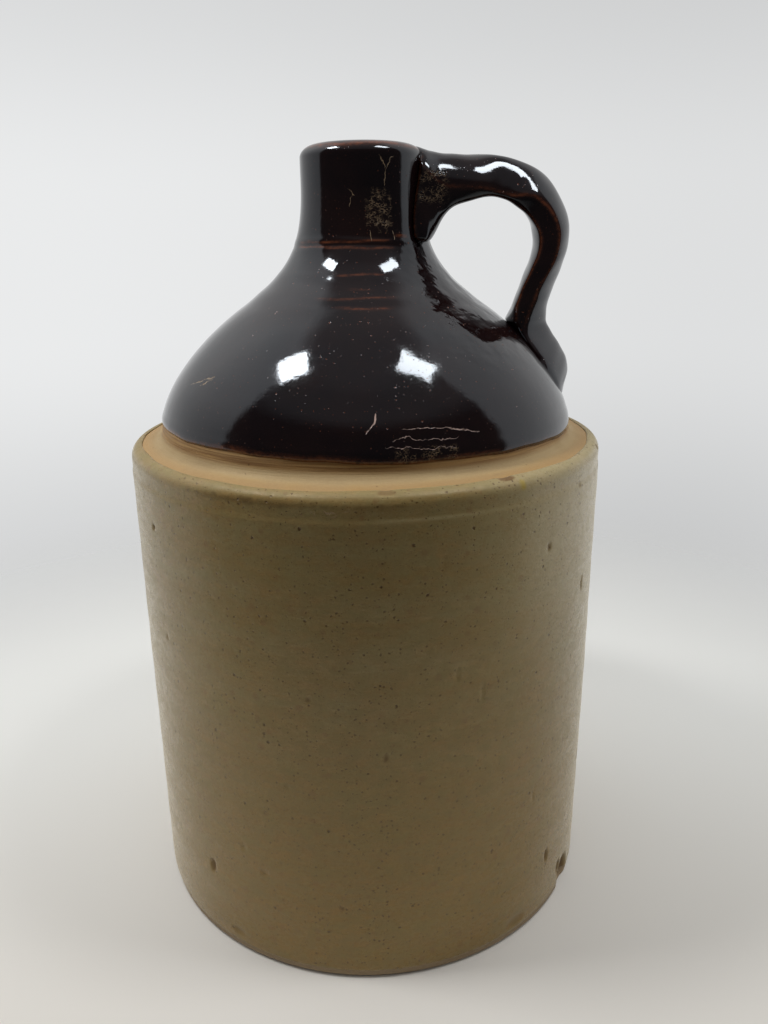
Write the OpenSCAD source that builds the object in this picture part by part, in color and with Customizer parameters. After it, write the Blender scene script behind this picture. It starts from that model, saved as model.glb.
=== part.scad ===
// Stoneware shoulder jug with a strap handle, all lengths in millimetres.
// The origin is the centre of the foot, +Z runs up the axis and the handle stands toward +X.

/* [Lower body] */
// Outside diameter of the lower body, over its glaze
body_d = 178; // [160:1:220]
// Height of the ledge's outer edge above the table
ledge_z = 181; // [120:1:240]
// Thickness of the clay wall
wall_t = 8.5; // [6:0.5:11]
// Thickness of the clay floor
floor_t = 10; // [7:0.5:14]
// Rounding inside, where the wall meets the floor
floor_corner_r = 14; // [8:1:24]
// Width of the foot ring that the jug stands on
foot_w = 14; // [10:1:24]
// Depth of the hollow inside the foot ring
foot_recess = 1; // [0.6:0.2:2.4]
// Rounding of the bottom edge
base_edge_r = 1.6; // [1:0.2:3]
// Height of bare clay left above the table
foot_bare_h = 3.2; // [2.6:0.2:6]

/* [Ledge] */
// Width of the ledge, from the body's side to the foot of the shoulder
ledge_w = 11.6; // [10:0.2:16]
// Height of the plain band under the ledge
band_h = 8.5; // [7:0.5:14]
// Step in from the body to that band
band_step = 0.3; // [0.1:0.1:0.8]
// Rounding of the ledge's outer edge
ledge_edge_r = 4; // [2:0.5:6]
// Rise of the ledge from its outer edge to the shoulder
ledge_rise = 1.8; // [0.6:0.2:4]
// Depth of the rebate that the shoulder is set into
rebate_depth = 3; // [2:0.5:5]
// Thickness of the flange under the rebate
flange_t = 8; // [6:0.5:12]
// Height over which the wall curves in to the flange
flange_curve_h = 14; // [10:1:24]

/* [Shoulder] */
// Height of the shoulder's curve, from its foot to the hip
shoulder_h = 41; // [34:1:52]
// Diameter at the hip, where the dome turns into the flare of the neck
hip_d = 98.6; // [90:0.2:106]
// Slope of the wall at the hip, in degrees from level
hip_slope = 36; // [30:1:42]
// Thickness of the shoulder's clay wall
shoulder_t = 8; // [6:0.5:9]
// Rise of the shoulder's curve above the ledge's inner corner
shoulder_stilt = 1.2; // [0.6:0.2:4]

/* [Neck] */
// Diameter of the neck at the top of its flare, over its glaze
neck_d = 43.6; // [41:0.2:48]
// Height of the flare, from the hip to the straight neck
flare_h = 43; // [38:1:50]
// Height of the straight neck, up to the top of the lip
neck_h = 15; // [13:0.2:22]
// How far the lip stands proud of the neck
lip_proud = 0.4; // [0.2:0.1:1]
// Height over which the neck swells into the lip
lip_swell_h = 3; // [2:0.5:4]
// Rounding of the lip's outer edge
lip_round_r = 3.2; // [2:0.2:4]
// Rounding of the mouth's inner edge
mouth_round_r = 2.2; // [1.4:0.2:2.6]
// Diameter of the mouth's clay bore
mouth_d = 25.4; // [21:0.2:27]
// Length of the straight bore under the mouth's rounding
bore_h = 24; // [18:1:28]
// Lean of the neck's side at the top of the flare, in degrees
neck_taper = 1.7; // [0.5:0.1:3]

/* [Handle] */
// How far the handle's outer face stays inside the foot of the shoulder
handle_inset = 2.2; // [-4:0.2:6]
// Thickness of the strap
strap_t = 13; // [10:0.5:15]
// Width of the strap
strap_w = 23.4; // [18:0.2:28]
// Drop from the top of the lip to the top of the strap
strap_drop = 3.5; // [2.5:0.5:8]
// Drop from the top of the lip to the top of the pad on the neck
pad_drop = 1; // [0.6:0.2:3]
// Height of the pad's foot above the joint in the neck
pad_foot_rise = 1; // [0.6:0.2:5]
// Width of the pad at its top
pad_top_w = 19; // [15:0.5:22]
// Width of the pad at its foot
pad_foot_w = 31; // [24:0.5:33]
// Height of the crown on the strap's outer face
crown_h = 4; // [2:0.5:5]
// Height of the crown on the strap's inner face
inner_crown_h = 2.4; // [1:0.2:4]
// Width of the strap's waist above its tail
waist_w = 23; // [19:0.5:28]
// Stand of the waist's outer face above the dome
waist_stand = 11.6; // [9:0.2:14]
// Width of the tail where it spreads on the dome
tail_w = 38; // [30:0.5:44]
// Thickness of the tail on the dome
tail_t = 6; // [4:0.5:8]
// Width that is left at the tail's tip
tail_tip_w = 12; // [8:0.5:18]

/* [Joints and coats] */
// Thickness of every glaze coat
glaze_t = 0.4; // [0.2:0.1:0.6]
// Thickness of the slip in the joints
slip_t = 0.8; // [0.4:0.1:1.2]

/* [Hidden] */
$fn = 96;

// Steps along each curve of the outline and round each rounding
curve_steps = 16;
round_steps = 6;

// Pulls of the outline's curves, as shares of the curve's height or width
dome_foot_pull_share = 0.44;
dome_hip_pull_share = 0.23;
flare_hip_pull_share = 0.70;
flare_neck_pull_share = 0.54;
// Places along the curves, from 0 at the start to 1 at the end
glaze_line_share = 0.085;
neck_joint_share = 0.63;
// Where the bore's throat opens, between the straight bore and the neck's joint
throat_share = 0.35;

// Radii of the clay and heights of the seats
body_r = body_d / 2;
cavity_r = body_r - glaze_t - wall_t;
shoulder_r = body_r - ledge_w;
hip_r = hip_d / 2;
neck_r = neck_d / 2;
mouth_r = mouth_d / 2;
ledge_top_z = ledge_z + ledge_rise;
seat_z = ledge_top_z - rebate_depth;
dome_z = ledge_top_z + shoulder_stilt;
hip_z = dome_z + shoulder_h;
flare_top_z = hip_z + flare_h;
rim_z = flare_top_z + neck_h;
seat_in_r = shoulder_r - glaze_t - shoulder_t;

// Point of a cubic curve and the direction it runs in, at share t
function curve(c, t) = c[0] * pow(1 - t, 3) + 3 * c[1] * t * pow(1 - t, 2)
    + 3 * c[2] * t * t * (1 - t) + c[3] * pow(t, 3);
function slope(c, t) = (c[1] - c[0]) * pow(1 - t, 2) + 2 * (c[2] - c[1]) * t * (1 - t)
    + (c[3] - c[2]) * t * t;
function unit(v) = v / norm(v);
// Point at a depth under the curve, square to it, toward the jug's axis
function under(c, t, depth) = let (d = unit(slope(c, t))) curve(c, t) + depth * [-d[1], d[0]];
function arc(centre, r, from, to) =
    [for (i = [0:round_steps]) let (a = from + (to - from) * i / round_steps)
        centre + r * [cos(a), sin(a)]];
function shares(from, to, steps) = [for (i = [0:steps]) from + (to - from) * i / steps];
function backwards(list) = [for (i = [len(list) - 1:-1:0]) list[i]];

// The two curves of the shoulder's outline, over the glaze: radius and height
hip_pull = [cos(hip_slope), -sin(hip_slope)] / cos(hip_slope);
dome_curve = [
    [shoulder_r, dome_z],
    [shoulder_r, dome_z + dome_foot_pull_share * shoulder_h],
    [hip_r, hip_z] + dome_hip_pull_share * (shoulder_r - hip_r) * hip_pull,
    [hip_r, hip_z]
];
flare_curve = [
    [hip_r, hip_z],
    [hip_r, hip_z] - flare_hip_pull_share * (hip_r - neck_r) * hip_pull,
    [neck_r, flare_top_z] - flare_neck_pull_share * flare_h * [-tan(neck_taper), 1],
    [neck_r, flare_top_z]
];
// The slip ring in the neck's joint takes this share of the flare's curve
neck_slip_share = slip_t / (3 * norm(slope(flare_curve, neck_joint_share)));
neck_start_share = neck_joint_share + neck_slip_share;

// Stretches of the wall at a depth under the outline, all with their corners at the same shares
dome_shares = concat([0], shares(glaze_line_share, 1, curve_steps));
function dome_line(depth, from = 0) =
    [for (t = dome_shares) if (t >= from) under(dome_curve, t, depth)];
function flare_line(depth) =
    [for (t = shares(1 / curve_steps, neck_joint_share, curve_steps)) under(flare_curve, t, depth)];
function neck_line(depth) =
    [for (t = shares(neck_start_share, 1, curve_steps / 2)) under(flare_curve, t, depth)];
// The lip from the top of the flare to the top of the rim, and from there down into the mouth's bore
lip_r = neck_r + lip_proud;
function lip_line(depth) = concat(
    [[lip_r - depth, flare_top_z + lip_swell_h]],
    arc([lip_r - lip_round_r, rim_z - lip_round_r], lip_round_r - depth, 0, 90));
function mouth_line(depth) =
    arc([mouth_r - glaze_t + mouth_round_r, rim_z - mouth_round_r], mouth_round_r - depth, 90, 180);

// The throat widens from the straight bore to the inside of the neck's joint
bore_low_z = rim_z - mouth_round_r - bore_h;
function throat(depth) =
    let (low = under(flare_curve, neck_start_share, glaze_t + shoulder_t + depth))
    [low, [low[0] * (1 - throat_share) + (mouth_r - depth) * throat_share,
           low[1] * throat_share + bore_low_z * (1 - throat_share)],
     [mouth_r - depth, bore_low_z]];

// Inside of the lower body, from the seat's inner edge down to the middle of the floor
flange_low_z = seat_z - flange_t;
function cavity_line(depth) = concat(
    [[seat_in_r - depth, seat_z], [seat_in_r - depth, flange_low_z - depth]],
    [for (t = shares(0, 1, round_steps))
        [seat_in_r + (cavity_r - seat_in_r) * (1 - cos(90 * t)) - depth,
         flange_low_z - depth - flange_curve_h * sin(90 * t)]],
    arc([cavity_r - floor_corner_r, floor_t + floor_corner_r], floor_corner_r - depth, 0, -90),
    [[0, floor_t + depth]]);

// Outside of the lower body from the bare foot to the top of the ledge's edge
function body_line(depth, low_z) = concat(
    [[body_r - depth, low_z],
     [body_r - depth, ledge_z - band_h],
     [body_r - band_step - depth, ledge_z - band_h + band_step]],
    arc([body_r - band_step - ledge_edge_r, ledge_z - ledge_edge_r], ledge_edge_r - depth, 0, 90));

module lower_body() {
    clay_r = body_r - glaze_t;
    color("BurlyWood") rotate_extrude() polygon(concat(
        [[0, foot_recess], [clay_r - foot_w - foot_recess, foot_recess], [clay_r - foot_w, 0]],
        arc([clay_r - base_edge_r, base_edge_r], base_edge_r, -90, 0),
        body_line(glaze_t, foot_bare_h),
        [[shoulder_r - glaze_t, ledge_top_z], [shoulder_r - glaze_t, seat_z]],
        cavity_line(0)));
}

// A revolved surface starts and ends on its seam, and this turns the seam to the side without the handle
module away_from_handle() {
    rotate([0, 0, 180]) children();
}

module shoulder_dome() {
    inner_depth = glaze_t + shoulder_t;
    color("Peru") away_from_handle() rotate_extrude() polygon(concat(
        [[seat_in_r, seat_z + slip_t], [shoulder_r - glaze_t, seat_z + slip_t]],
        dome_line(glaze_t), flare_line(glaze_t),
        backwards(concat(dome_line(inner_depth), flare_line(inner_depth)))));
}

module neck() {
    color("Sienna") away_from_handle() rotate_extrude() polygon(concat(
        neck_line(glaze_t), lip_line(glaze_t), mouth_line(glaze_t), backwards(throat(0))));
}

module shoulder_slip_ring() {
    color("Tan") translate([0, 0, seat_z]) difference() {
        cylinder(h = slip_t, r = shoulder_r - glaze_t);
        translate([0, 0, -slip_t]) cylinder(h = 3 * slip_t, r = seat_in_r);
    }
}

module neck_slip_ring() {
    inner_depth = glaze_t + shoulder_t;
    color("Tan") rotate_extrude() polygon([
        under(flare_curve, neck_joint_share, inner_depth), under(flare_curve, neck_joint_share, glaze_t),
        under(flare_curve, neck_start_share, glaze_t), under(flare_curve, neck_start_share, inner_depth)]);
}

module body_glaze() {
    color("Tan") rotate_extrude() polygon(concat(
        body_line(0, foot_bare_h), backwards(body_line(glaze_t, foot_bare_h))));
}

// Inside of the whole jug at a depth over the clay, from the floor's middle up to the mouth
function liner_line(depth) = let (inner_depth = glaze_t + shoulder_t + depth) concat(
    backwards(cavity_line(depth)),
    [[seat_in_r - depth, dome_z]],
    dome_line(inner_depth, glaze_line_share), flare_line(inner_depth), throat(depth),
    [[mouth_r - depth, rim_z - mouth_round_r]]);

module liner_glaze() {
    color("SaddleBrown") rotate_extrude() polygon(concat(
        liner_line(0), backwards(liner_line(glaze_t))));
}

// Everything inside the clay's outline, which the handle and its coat are cut back to
module clay_envelope() {
    away_from_handle() rotate_extrude() polygon(concat(
        [[0, seat_z], [shoulder_r - glaze_t, seat_z]],
        dome_line(glaze_t), flare_line(glaze_t), neck_line(glaze_t), lip_line(glaze_t),
        [[0, rim_z - glaze_t]]));
}

module shoulder_glaze() {
    color([0.20, 0.11, 0.08]) difference() {
        away_from_handle() rotate_extrude() polygon(concat(
            dome_line(0, glaze_line_share), flare_line(0),
            backwards(concat(dome_line(glaze_t, glaze_line_share), flare_line(glaze_t)))));
        strap(0);
    }
}

module neck_glaze() {
    start_over = under(flare_curve, neck_joint_share, 0);
    start_under = under(flare_curve, neck_joint_share, glaze_t);
    color([0.17, 0.09, 0.06]) difference() {
        away_from_handle() rotate_extrude() polygon(concat(
            [start_over], neck_line(0), lip_line(0), mouth_line(0),
            backwards(concat([start_under], neck_line(glaze_t), lip_line(glaze_t), mouth_line(glaze_t)))));
        strap(0);
    }
}

// Handle: rings are stretched between an outer rail and an inner rail, both in the plane of +X and +Z.
// Each rail is a chain of curves through the same stations: neck, arch, side, waist, heel and tip.
rail_steps = [7, 8, 7, 7, 5];
// Places of the stations, as shares of the reach, the drop or the dome's curve
arch_x_share = 0.43;
arch_inner_x_share = 0.59;
side_z_share = 0.48;
waist_share = 0.62;
heel_share = 0.32;
tip_share = 0.13;
crotch_share = 0.86;
// Depth that the handle's ends are carried into the clay before they are cut back
root_depth = shoulder_t;

function on_dome(t, stand) = under(dome_curve, t, -stand);
function chord(p, p_dir, p_pull, q, q_dir, q_pull) = let (l = norm(q - p))
    [p, p + p_pull * l * unit(p_dir), q - q_pull * l * unit(q_dir), q];

// Directions of the rails at the stations
right = [1, 0];
down = [0, -1];
pad_dir = [1, -0.12];
pad_foot_dir = [0.93, 0.37];
crotch_dir = [-0.17, -0.98];
tail_dir = -slope(dome_curve, heel_share);

// The stations on the outer and the inner rail
handle_reach = shoulder_r - handle_inset;
strap_top_z = rim_z - strap_drop;
outer_waist = on_dome(waist_share, waist_stand);
side_z = strap_top_z - side_z_share * (strap_top_z - outer_waist[1]);
outer_neck = [(mouth_r + neck_r) / 2, rim_z - pad_drop];
outer_arch = [neck_r + arch_x_share * (handle_reach - neck_r), strap_top_z];
outer_side = [handle_reach, side_z];
outer_heel = on_dome(heel_share, tail_t);
outer_tip = on_dome(tip_share, -tail_t / 3);
inner_neck = under(flare_curve, neck_joint_share, 0) + [0, pad_foot_rise]
    - root_depth * unit(pad_foot_dir);
inner_reach = handle_reach - strap_t;
inner_arch = [neck_r + arch_inner_x_share * (inner_reach - neck_r), strap_top_z - strap_t - glaze_t];
inner_side = [inner_reach, side_z - strap_t / 4];
inner_waist = on_dome(crotch_share, 0);
inner_heel = on_dome(heel_share, -root_depth);
inner_tip = on_dome(tip_share, -root_depth);

outer_rail = [
    chord(outer_neck, pad_dir, 0.3, outer_arch, right, 0.35),
    chord(outer_arch, right, 0.375, outer_side, down, 0.37),
    chord(outer_side, down, 0.345, outer_waist, down, 0.29),
    chord(outer_waist, down, 0.24, outer_heel, down, 0.34),
    chord(outer_heel, down, 0.3, outer_tip, down, 0.3)
];
inner_rail = [
    chord(inner_neck, pad_foot_dir, 0.31, inner_arch, right, 0.47),
    chord(inner_arch, right, 0.42, inner_side, down, 0.395),
    chord(inner_side, down, 0.31, inner_waist, crotch_dir, 0.3),
    chord(inner_waist, tail_dir, 0.3, inner_heel, tail_dir, 0.3),
    chord(inner_heel, tail_dir, 0.3, inner_tip, down, 0.3)
];
// Half widths at the stations, at the outer and the inner edge of the strap's sides
outer_widths = [pad_top_w, strap_w, strap_w, waist_w, tail_w, tail_tip_w] / 2;
inner_widths = [pad_foot_w, strap_w, strap_w, (waist_w + tail_w) / 2, tail_w, tail_tip_w] / 2;

function ease(t) = t * t * (3 - 2 * t);
// The tail's end is round, the other stretches change width evenly
function width_at(widths, k, t) = k == len(rail_steps) - 1
    ? widths[k + 1] + (widths[k] - widths[k + 1]) * sqrt(1 - t * t)
    : widths[k] + (widths[k + 1] - widths[k]) * ease(t);

// Places across the strap, as shares of its half width, where each ring has its points
across_shares = [-1, -0.86, -0.6, -0.3, 0, 0.3, 0.6, 0.86, 1];
ring_count = 2 * len(across_shares);
function ring(k, t, coat) = let (
    outer_mid = curve(outer_rail[k], t),
    inner_mid = curve(inner_rail[k], t),
    inward = unit(inner_mid - outer_mid),
    outer_p = outer_mid + coat * inward,
    inner_p = inner_mid - coat * inward,
    outer_w = width_at(outer_widths, k, t) - coat,
    inner_w = width_at(inner_widths, k, t) - coat,
    outer_point = function(u) outer_p + crown_h * u * u * inward,
    inner_point = function(u) inner_p - inner_crown_h * u * u * inward
) concat(
    [for (u = across_shares) let (p = outer_point(u)) [p[0], u * outer_w, p[1]]],
    [for (u = backwards(across_shares)) let (p = inner_point(u)) [p[0], u * inner_w, p[1]]]);

function rings(coat) = [
    for (k = [0:len(rail_steps) - 1]) for (i = [0:rail_steps[k] - 1]) ring(k, i / rail_steps[k], coat),
    ring(len(rail_steps) - 1, 1, coat)];
// Faces of the skin that runs along a chain of rings, whose points start at first
function skin(count, first, flip) = [
    for (i = [0:count - 2]) for (j = [0:ring_count - 1]) let (
        a = first + i * ring_count + j,
        b = first + i * ring_count + (j + 1) % ring_count,
        c = a + ring_count,
        d = b + ring_count
    ) each flip ? [[a, d, b], [a, c, d]] : [[a, b, d], [a, d, c]]];
// Band of faces between two rings of points, which closes an end of the coat
function end_band(first_a, first_b, flip) = [
    for (j = [0:ring_count - 1]) let (
        a = first_a + j,
        b = first_a + (j + 1) % ring_count,
        c = first_b + j,
        d = first_b + (j + 1) % ring_count
    ) each flip ? [[a, d, b], [a, c, d]] : [[a, b, d], [a, d, c]]];

module strap(coat) {
    all = rings(coat);
    count = len(all);
    last = (count - 1) * ring_count;
    polyhedron(
        points = [for (r = all) each r],
        faces = concat(
            skin(count, 0, false),
            [[for (j = [ring_count - 1:-1:0]) j]],
            [[for (j = [0:ring_count - 1]) last + j]]));
}

module handle() {
    color("Sienna") difference() {
        strap(glaze_t);
        clay_envelope();
    }
}

module handle_glaze() {
    over = rings(0);
    under_rings = rings(glaze_t);
    count = len(over);
    first_under = count * ring_count;
    last = (count - 1) * ring_count;
    color([0.15, 0.08, 0.05]) difference() {
        polyhedron(
            points = [for (r = concat(over, under_rings)) each r],
            faces = concat(
                skin(count, 0, false),
                skin(count, first_under, true),
                end_band(0, first_under, true),
                end_band(last, first_under + last, false)));
        clay_envelope();
    }
}

lower_body();
shoulder_dome();
neck();
handle();
shoulder_slip_ring();
neck_slip_ring();
body_glaze();
shoulder_glaze();
neck_glaze();
handle_glaze();
liner_glaze();
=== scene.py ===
"""Looks of a stoneware shoulder jug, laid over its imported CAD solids.

Lengths are in millimetres until a mesh is made, and angles are in degrees. The jug stands on z = 0 with
its axis on Z, the handle points along +X and the photographed side faces -Y. A turn is an angle round
the axis, which starts at the photographed side and grows toward the handle.
"""

import math

import bpy
import numpy as np
from mathutils import Matrix, Vector


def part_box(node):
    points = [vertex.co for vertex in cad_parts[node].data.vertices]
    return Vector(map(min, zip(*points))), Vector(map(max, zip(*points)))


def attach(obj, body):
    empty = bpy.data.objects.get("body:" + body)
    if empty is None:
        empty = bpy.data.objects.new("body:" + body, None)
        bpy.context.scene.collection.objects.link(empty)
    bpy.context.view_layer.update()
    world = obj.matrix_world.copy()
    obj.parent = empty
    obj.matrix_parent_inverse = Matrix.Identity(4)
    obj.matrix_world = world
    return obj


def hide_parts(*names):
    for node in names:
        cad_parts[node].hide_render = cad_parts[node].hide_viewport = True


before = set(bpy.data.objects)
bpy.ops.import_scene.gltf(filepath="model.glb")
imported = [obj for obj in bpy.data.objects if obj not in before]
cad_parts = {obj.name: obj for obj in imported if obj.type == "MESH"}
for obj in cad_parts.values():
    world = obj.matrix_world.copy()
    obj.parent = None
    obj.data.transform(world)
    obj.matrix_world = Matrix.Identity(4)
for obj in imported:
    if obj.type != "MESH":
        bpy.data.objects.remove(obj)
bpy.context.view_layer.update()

MM = 0.001
PER_METRE = 1000.0

# Sizes that the CAD solids give
body_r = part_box("body_glaze")[1].x / MM
ledge_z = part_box("body_glaze")[1].z / MM
foot_bare_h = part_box("body_glaze")[0].z / MM
ledge_top_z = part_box("lower_body")[1].z / MM
rim_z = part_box("neck_glaze")[1].z / MM

# Radius at which a turned floor starts beside the axis
axis_gap = 0.01
# Points round the axis on each turned piece
body_coat_turns = 720
pot_coat_turns = 640
clay_turns = 480
neck_clay_turns = 240
liner_turns = 160

# Sizes of the lower body
wall_t = 8.5
floor_t = 10
floor_corner_r = 14
foot_w = 14
foot_recess = 1
base_edge_r = 1.6
band_h = 8.5
band_step = 0.3
band_edge = 0.7
ledge_edge_r = 4
ledge_w = 11.6
rebate_depth = 3
corner_w = 4
corner_rise = 1.6
corner_pull = 2.6
corner_lift = 2.2
flange_t = 8
flange_curve_h = 14

# Sizes of the shoulder and the neck
shoulder_t = 8
shoulder_stilt = 1.2
shoulder_h = 41
hip_r = 49.3
hip_slope = 36
flare_h = 43
neck_r = 21.8
neck_taper = 1.7
neck_blend_h = 3
lip_round_w = 6.2
lip_round_h = 4.4
mouth_round_r = 2.2
mouth_r = 12.3
bore_h = 24
glaze_t = 0.4

shoulder_r = body_r - ledge_w
dome_z = ledge_top_z + shoulder_stilt
hip_z = dome_z + shoulder_h
flare_top_z = hip_z + flare_h
seat_z = ledge_top_z - rebate_depth
seat_in_r = shoulder_r - glaze_t - shoulder_t
cavity_r = body_r - glaze_t - wall_t
inner_depth = glaze_t + shoulder_t

# Pulls and places along the outline's two curves, as shares
dome_foot_pull_share = 0.44
dome_hip_pull_share = 0.23
flare_hip_pull_share = 0.70
flare_neck_pull_share = 0.54
glaze_line_share = 0.085
neck_joint_share = 0.63
throat_share = 0.35


def curve(c, t):
    """Points of a cubic curve at the shares t."""
    t = np.asarray(t, float)[..., None]
    return c[0] * (1 - t) ** 3 + 3 * c[1] * t * (1 - t) ** 2 + 3 * c[2] * t * t * (1 - t) + c[3] * t ** 3


def along(c, t):
    """Unit directions that a cubic curve runs in at the shares t."""
    t = np.asarray(t, float)[..., None]
    v = (c[1] - c[0]) * (1 - t) ** 2 + 2 * (c[2] - c[1]) * t * (1 - t) + (c[3] - c[2]) * t * t
    return v / np.linalg.norm(v, axis=-1, keepdims=True)


def outward(direction):
    """Directions away from the wall that runs upward in the given directions."""
    return np.stack([direction[..., 1], -direction[..., 0]], axis=-1)


hip_pull = np.array([1, -math.tan(math.radians(hip_slope))])
hip = np.array([hip_r, hip_z])
dome_curve = [
    np.array([shoulder_r, dome_z]),
    np.array([shoulder_r, dome_z + dome_foot_pull_share * shoulder_h]),
    hip + dome_hip_pull_share * (shoulder_r - hip_r) * hip_pull,
    hip,
]
flare_top = np.array([neck_r, flare_top_z])
flare_curve = [
    hip,
    hip - flare_hip_pull_share * (hip_r - neck_r) * hip_pull,
    flare_top - flare_neck_pull_share * flare_h * np.array([-math.tan(math.radians(neck_taper)), 1]),
    flare_top,
]


def smooth(low, high, x):
    """0 below low and 1 above high, with a soft change between them."""
    t = np.clip((np.asarray(x, float) - low) / (high - low), 0, 1)
    return t * t * (3 - 2 * t)


def bump(x, middle, half_width):
    """A soft hump of height 1."""
    return np.exp(-((x - middle) / half_width) ** 2)


def waves(turn, table):
    """Waves round the axis, each with its count, its start in radians and its height."""
    a = np.radians(turn)
    return sum(rise * np.sin(count * a + start) for count, start, rise in table)


def wobble(turn, z, seed):
    """Slow unevenness of a turned wall, from about -1 to 1."""
    a = np.radians(turn)
    return (np.cos(2 * a + 1.7 * seed + z / 55) + 0.6 * np.cos(3 * a - 3.1 * seed - z / 38)
            + 0.4 * np.cos(5 * a + 2.3 * seed + z / 24) + 0.25 * np.cos(9 * a + seed - z / 13)) / 2.25


def outline(points, away, swell=1.0, hem=0.0):
    """Rows of a wall's outline: radius, height, the direction away from the clay, how much of the wall's
    unevenness each row takes, and how much of the wave in the coat's edge."""
    points = np.asarray(points, float)
    rows = np.empty((len(points), 6))
    rows[:, 0:2] = points
    rows[:, 2:4] = away
    rows[:, 4] = swell
    rows[:, 5] = hem
    return rows


def arc(centre, r, start, end, steps):
    """Points and outward directions of a round stretch of an outline."""
    a = np.radians(np.linspace(start, end, steps))
    away = np.stack([np.cos(a), np.sin(a)], axis=-1)
    return np.asarray(centre, float) + r * away, away


def make_mesh(name, points, faces, material, masks):
    """A smooth mesh piece in metres that rides on the jug, with its masks as attributes of its points."""
    mesh = bpy.data.meshes.new(name)
    mesh.from_pydata((np.asarray(points) * MM).tolist(), [], faces)
    mesh.validate()
    mesh.shade_smooth()
    for key, values in masks.items():
        data = mesh.attributes.new(key, "FLOAT", "POINT")
        data.data.foreach_set("value", np.asarray(values, np.float32).ravel())
    mesh.materials.append(material)
    piece = bpy.data.objects.new(name, mesh)
    bpy.context.scene.collection.objects.link(piece)
    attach(piece, "root")
    return piece


def ring_faces(low, high, turns):
    """Faces between two rings of points, given by the numbers of their first points."""
    return [(low + j, low + (j + 1) % turns, high + (j + 1) % turns, high + j) for j in range(turns)]


def turned(name, rows, turns, material, relief=None, edge=None, masks=None, closed=True):
    """A piece turned round the jug's axis. relief swells its wall and edge moves its hem, both in
    millimetres by turn and height; masks gives each mask by turn and height."""
    turn = np.linspace(-180, 180, turns, endpoint=False)[None, :]
    r, z, away_r, away_z, swell, hem = (rows[:, i][:, None] for i in range(6))
    lift = swell * relief(turn, z) if relief else np.zeros((len(rows), turns))
    slide = hem * edge(turn) if edge else 0
    out_r = r + lift * away_r + slide * away_z
    out_z = z + lift * away_z - slide * away_r
    a = np.radians(turn - 90)
    points = np.stack([out_r * np.cos(a), out_r * np.sin(a), out_z], axis=-1).reshape(-1, 3)
    count = len(rows)
    faces = []
    for i in range(count if closed else count - 1):
        faces += ring_faces(i * turns, (i + 1) % count * turns, turns)
    shown = {key: np.broadcast_to(mask(turn, out_z), out_z.shape) for key, mask in (masks or {}).items()}
    return make_mesh(name, points, faces, material, shown)


# Shader nodes
def put(tree, kind, inputs=None, **settings):
    """A shader node with its settings, each input linked to a socket or set to a value."""
    made = tree.nodes.new(kind)
    for key, value in settings.items():
        setattr(made, key, value)
    for key, value in (inputs or {}).items():
        socket = made.inputs[key]
        if isinstance(value, bpy.types.NodeSocket):
            tree.links.new(value, socket)
        elif socket.type == "RGBA":
            socket.default_value = (*value, 1)
        else:
            socket.default_value = value
    return made


def calc(tree, operation, a, b=0.0, c=0.0):
    """The result of a math node."""
    return put(tree, "ShaderNodeMath", {0: a, 1: b, 2: c}, operation=operation).outputs[0]


def times(tree, a, b):
    """The product of two numbers."""
    return calc(tree, "MULTIPLY", a, b)


def vector(tree, operation, a, b=(0, 0, 0)):
    """The vector that a vector math node gives."""
    return put(tree, "ShaderNodeVectorMath", {0: a, 1: b}, operation=operation).outputs["Vector"]


def measured(tree, operation, a, b=(0, 0, 0)):
    """The number that a vector math node gives, such as a length."""
    return put(tree, "ShaderNodeVectorMath", {0: a, 1: b}, operation=operation).outputs["Value"]


def scaled(tree, way, factor):
    """A vector times a number."""
    return put(tree, "ShaderNodeVectorMath", {0: way, "Scale": factor}, operation="SCALE").outputs["Vector"]


def parts_of(tree, way):
    """The X, Y and Z of a vector."""
    return put(tree, "ShaderNodeSeparateXYZ", {"Vector": way}).outputs


def joined(tree, x, y, z=0.0):
    """A vector made of its X, Y and Z."""
    return put(tree, "ShaderNodeCombineXYZ", {"X": x, "Y": y, "Z": z}).outputs[0]


def noise(tree, spot, scale, detail, roughness=0.5):
    """The outputs of a noise texture."""
    return put(tree, "ShaderNodeTexNoise",
               {"Vector": spot, "Scale": scale, "Detail": detail, "Roughness": roughness}).outputs


def between(tree, share, first, second):
    """A number between two numbers."""
    return put(tree, "ShaderNodeMix", {0: share, 2: first, 3: second}).outputs[0]


def ramp(tree, value, low, high, out_low=0.0, out_high=1.0):
    """A value carried softly from one range to another."""
    ranges = {"Value": value, "From Min": low, "From Max": high, "To Min": out_low, "To Max": out_high}
    return put(tree, "ShaderNodeMapRange", ranges, interpolation_type="SMOOTHSTEP").outputs["Result"]


def blend(tree, share, first, second):
    """A colour between two colours."""
    return put(tree, "ShaderNodeMix", {0: share, 6: first, 7: second}, data_type="RGBA").outputs[2]


def painted(tree, colour, layers):
    """A colour with others laid over it, each with its mask and how strong it is."""
    for mask, share, shade in layers:
        colour = blend(tree, times(tree, mask, share), colour, shade)
    return colour


def place(tree):
    """The point's place on the jug, in metres."""
    return put(tree, "ShaderNodeTexCoord").outputs["Object"]


def wall_radius(tree):
    """The point's distance from the jug's axis, in metres."""
    xyz = parts_of(tree, place(tree))
    return measured(tree, "LENGTH", joined(tree, xyz["X"], xyz["Y"]))


def group(name, inputs, outputs):
    """An empty node group with named sockets, each input with its kind and first value."""
    tree = bpy.data.node_groups.new(name, "ShaderNodeTree")
    for key, (kind, value) in inputs.items():
        socket = tree.interface.new_socket(key, in_out="INPUT", socket_type=kind)
        socket.default_value = value
    for key in outputs:
        tree.interface.new_socket(key, in_out="OUTPUT", socket_type="NodeSocketFloat")
    return tree, put(tree, "NodeGroupInput").outputs, put(tree, "NodeGroupOutput").inputs


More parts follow.
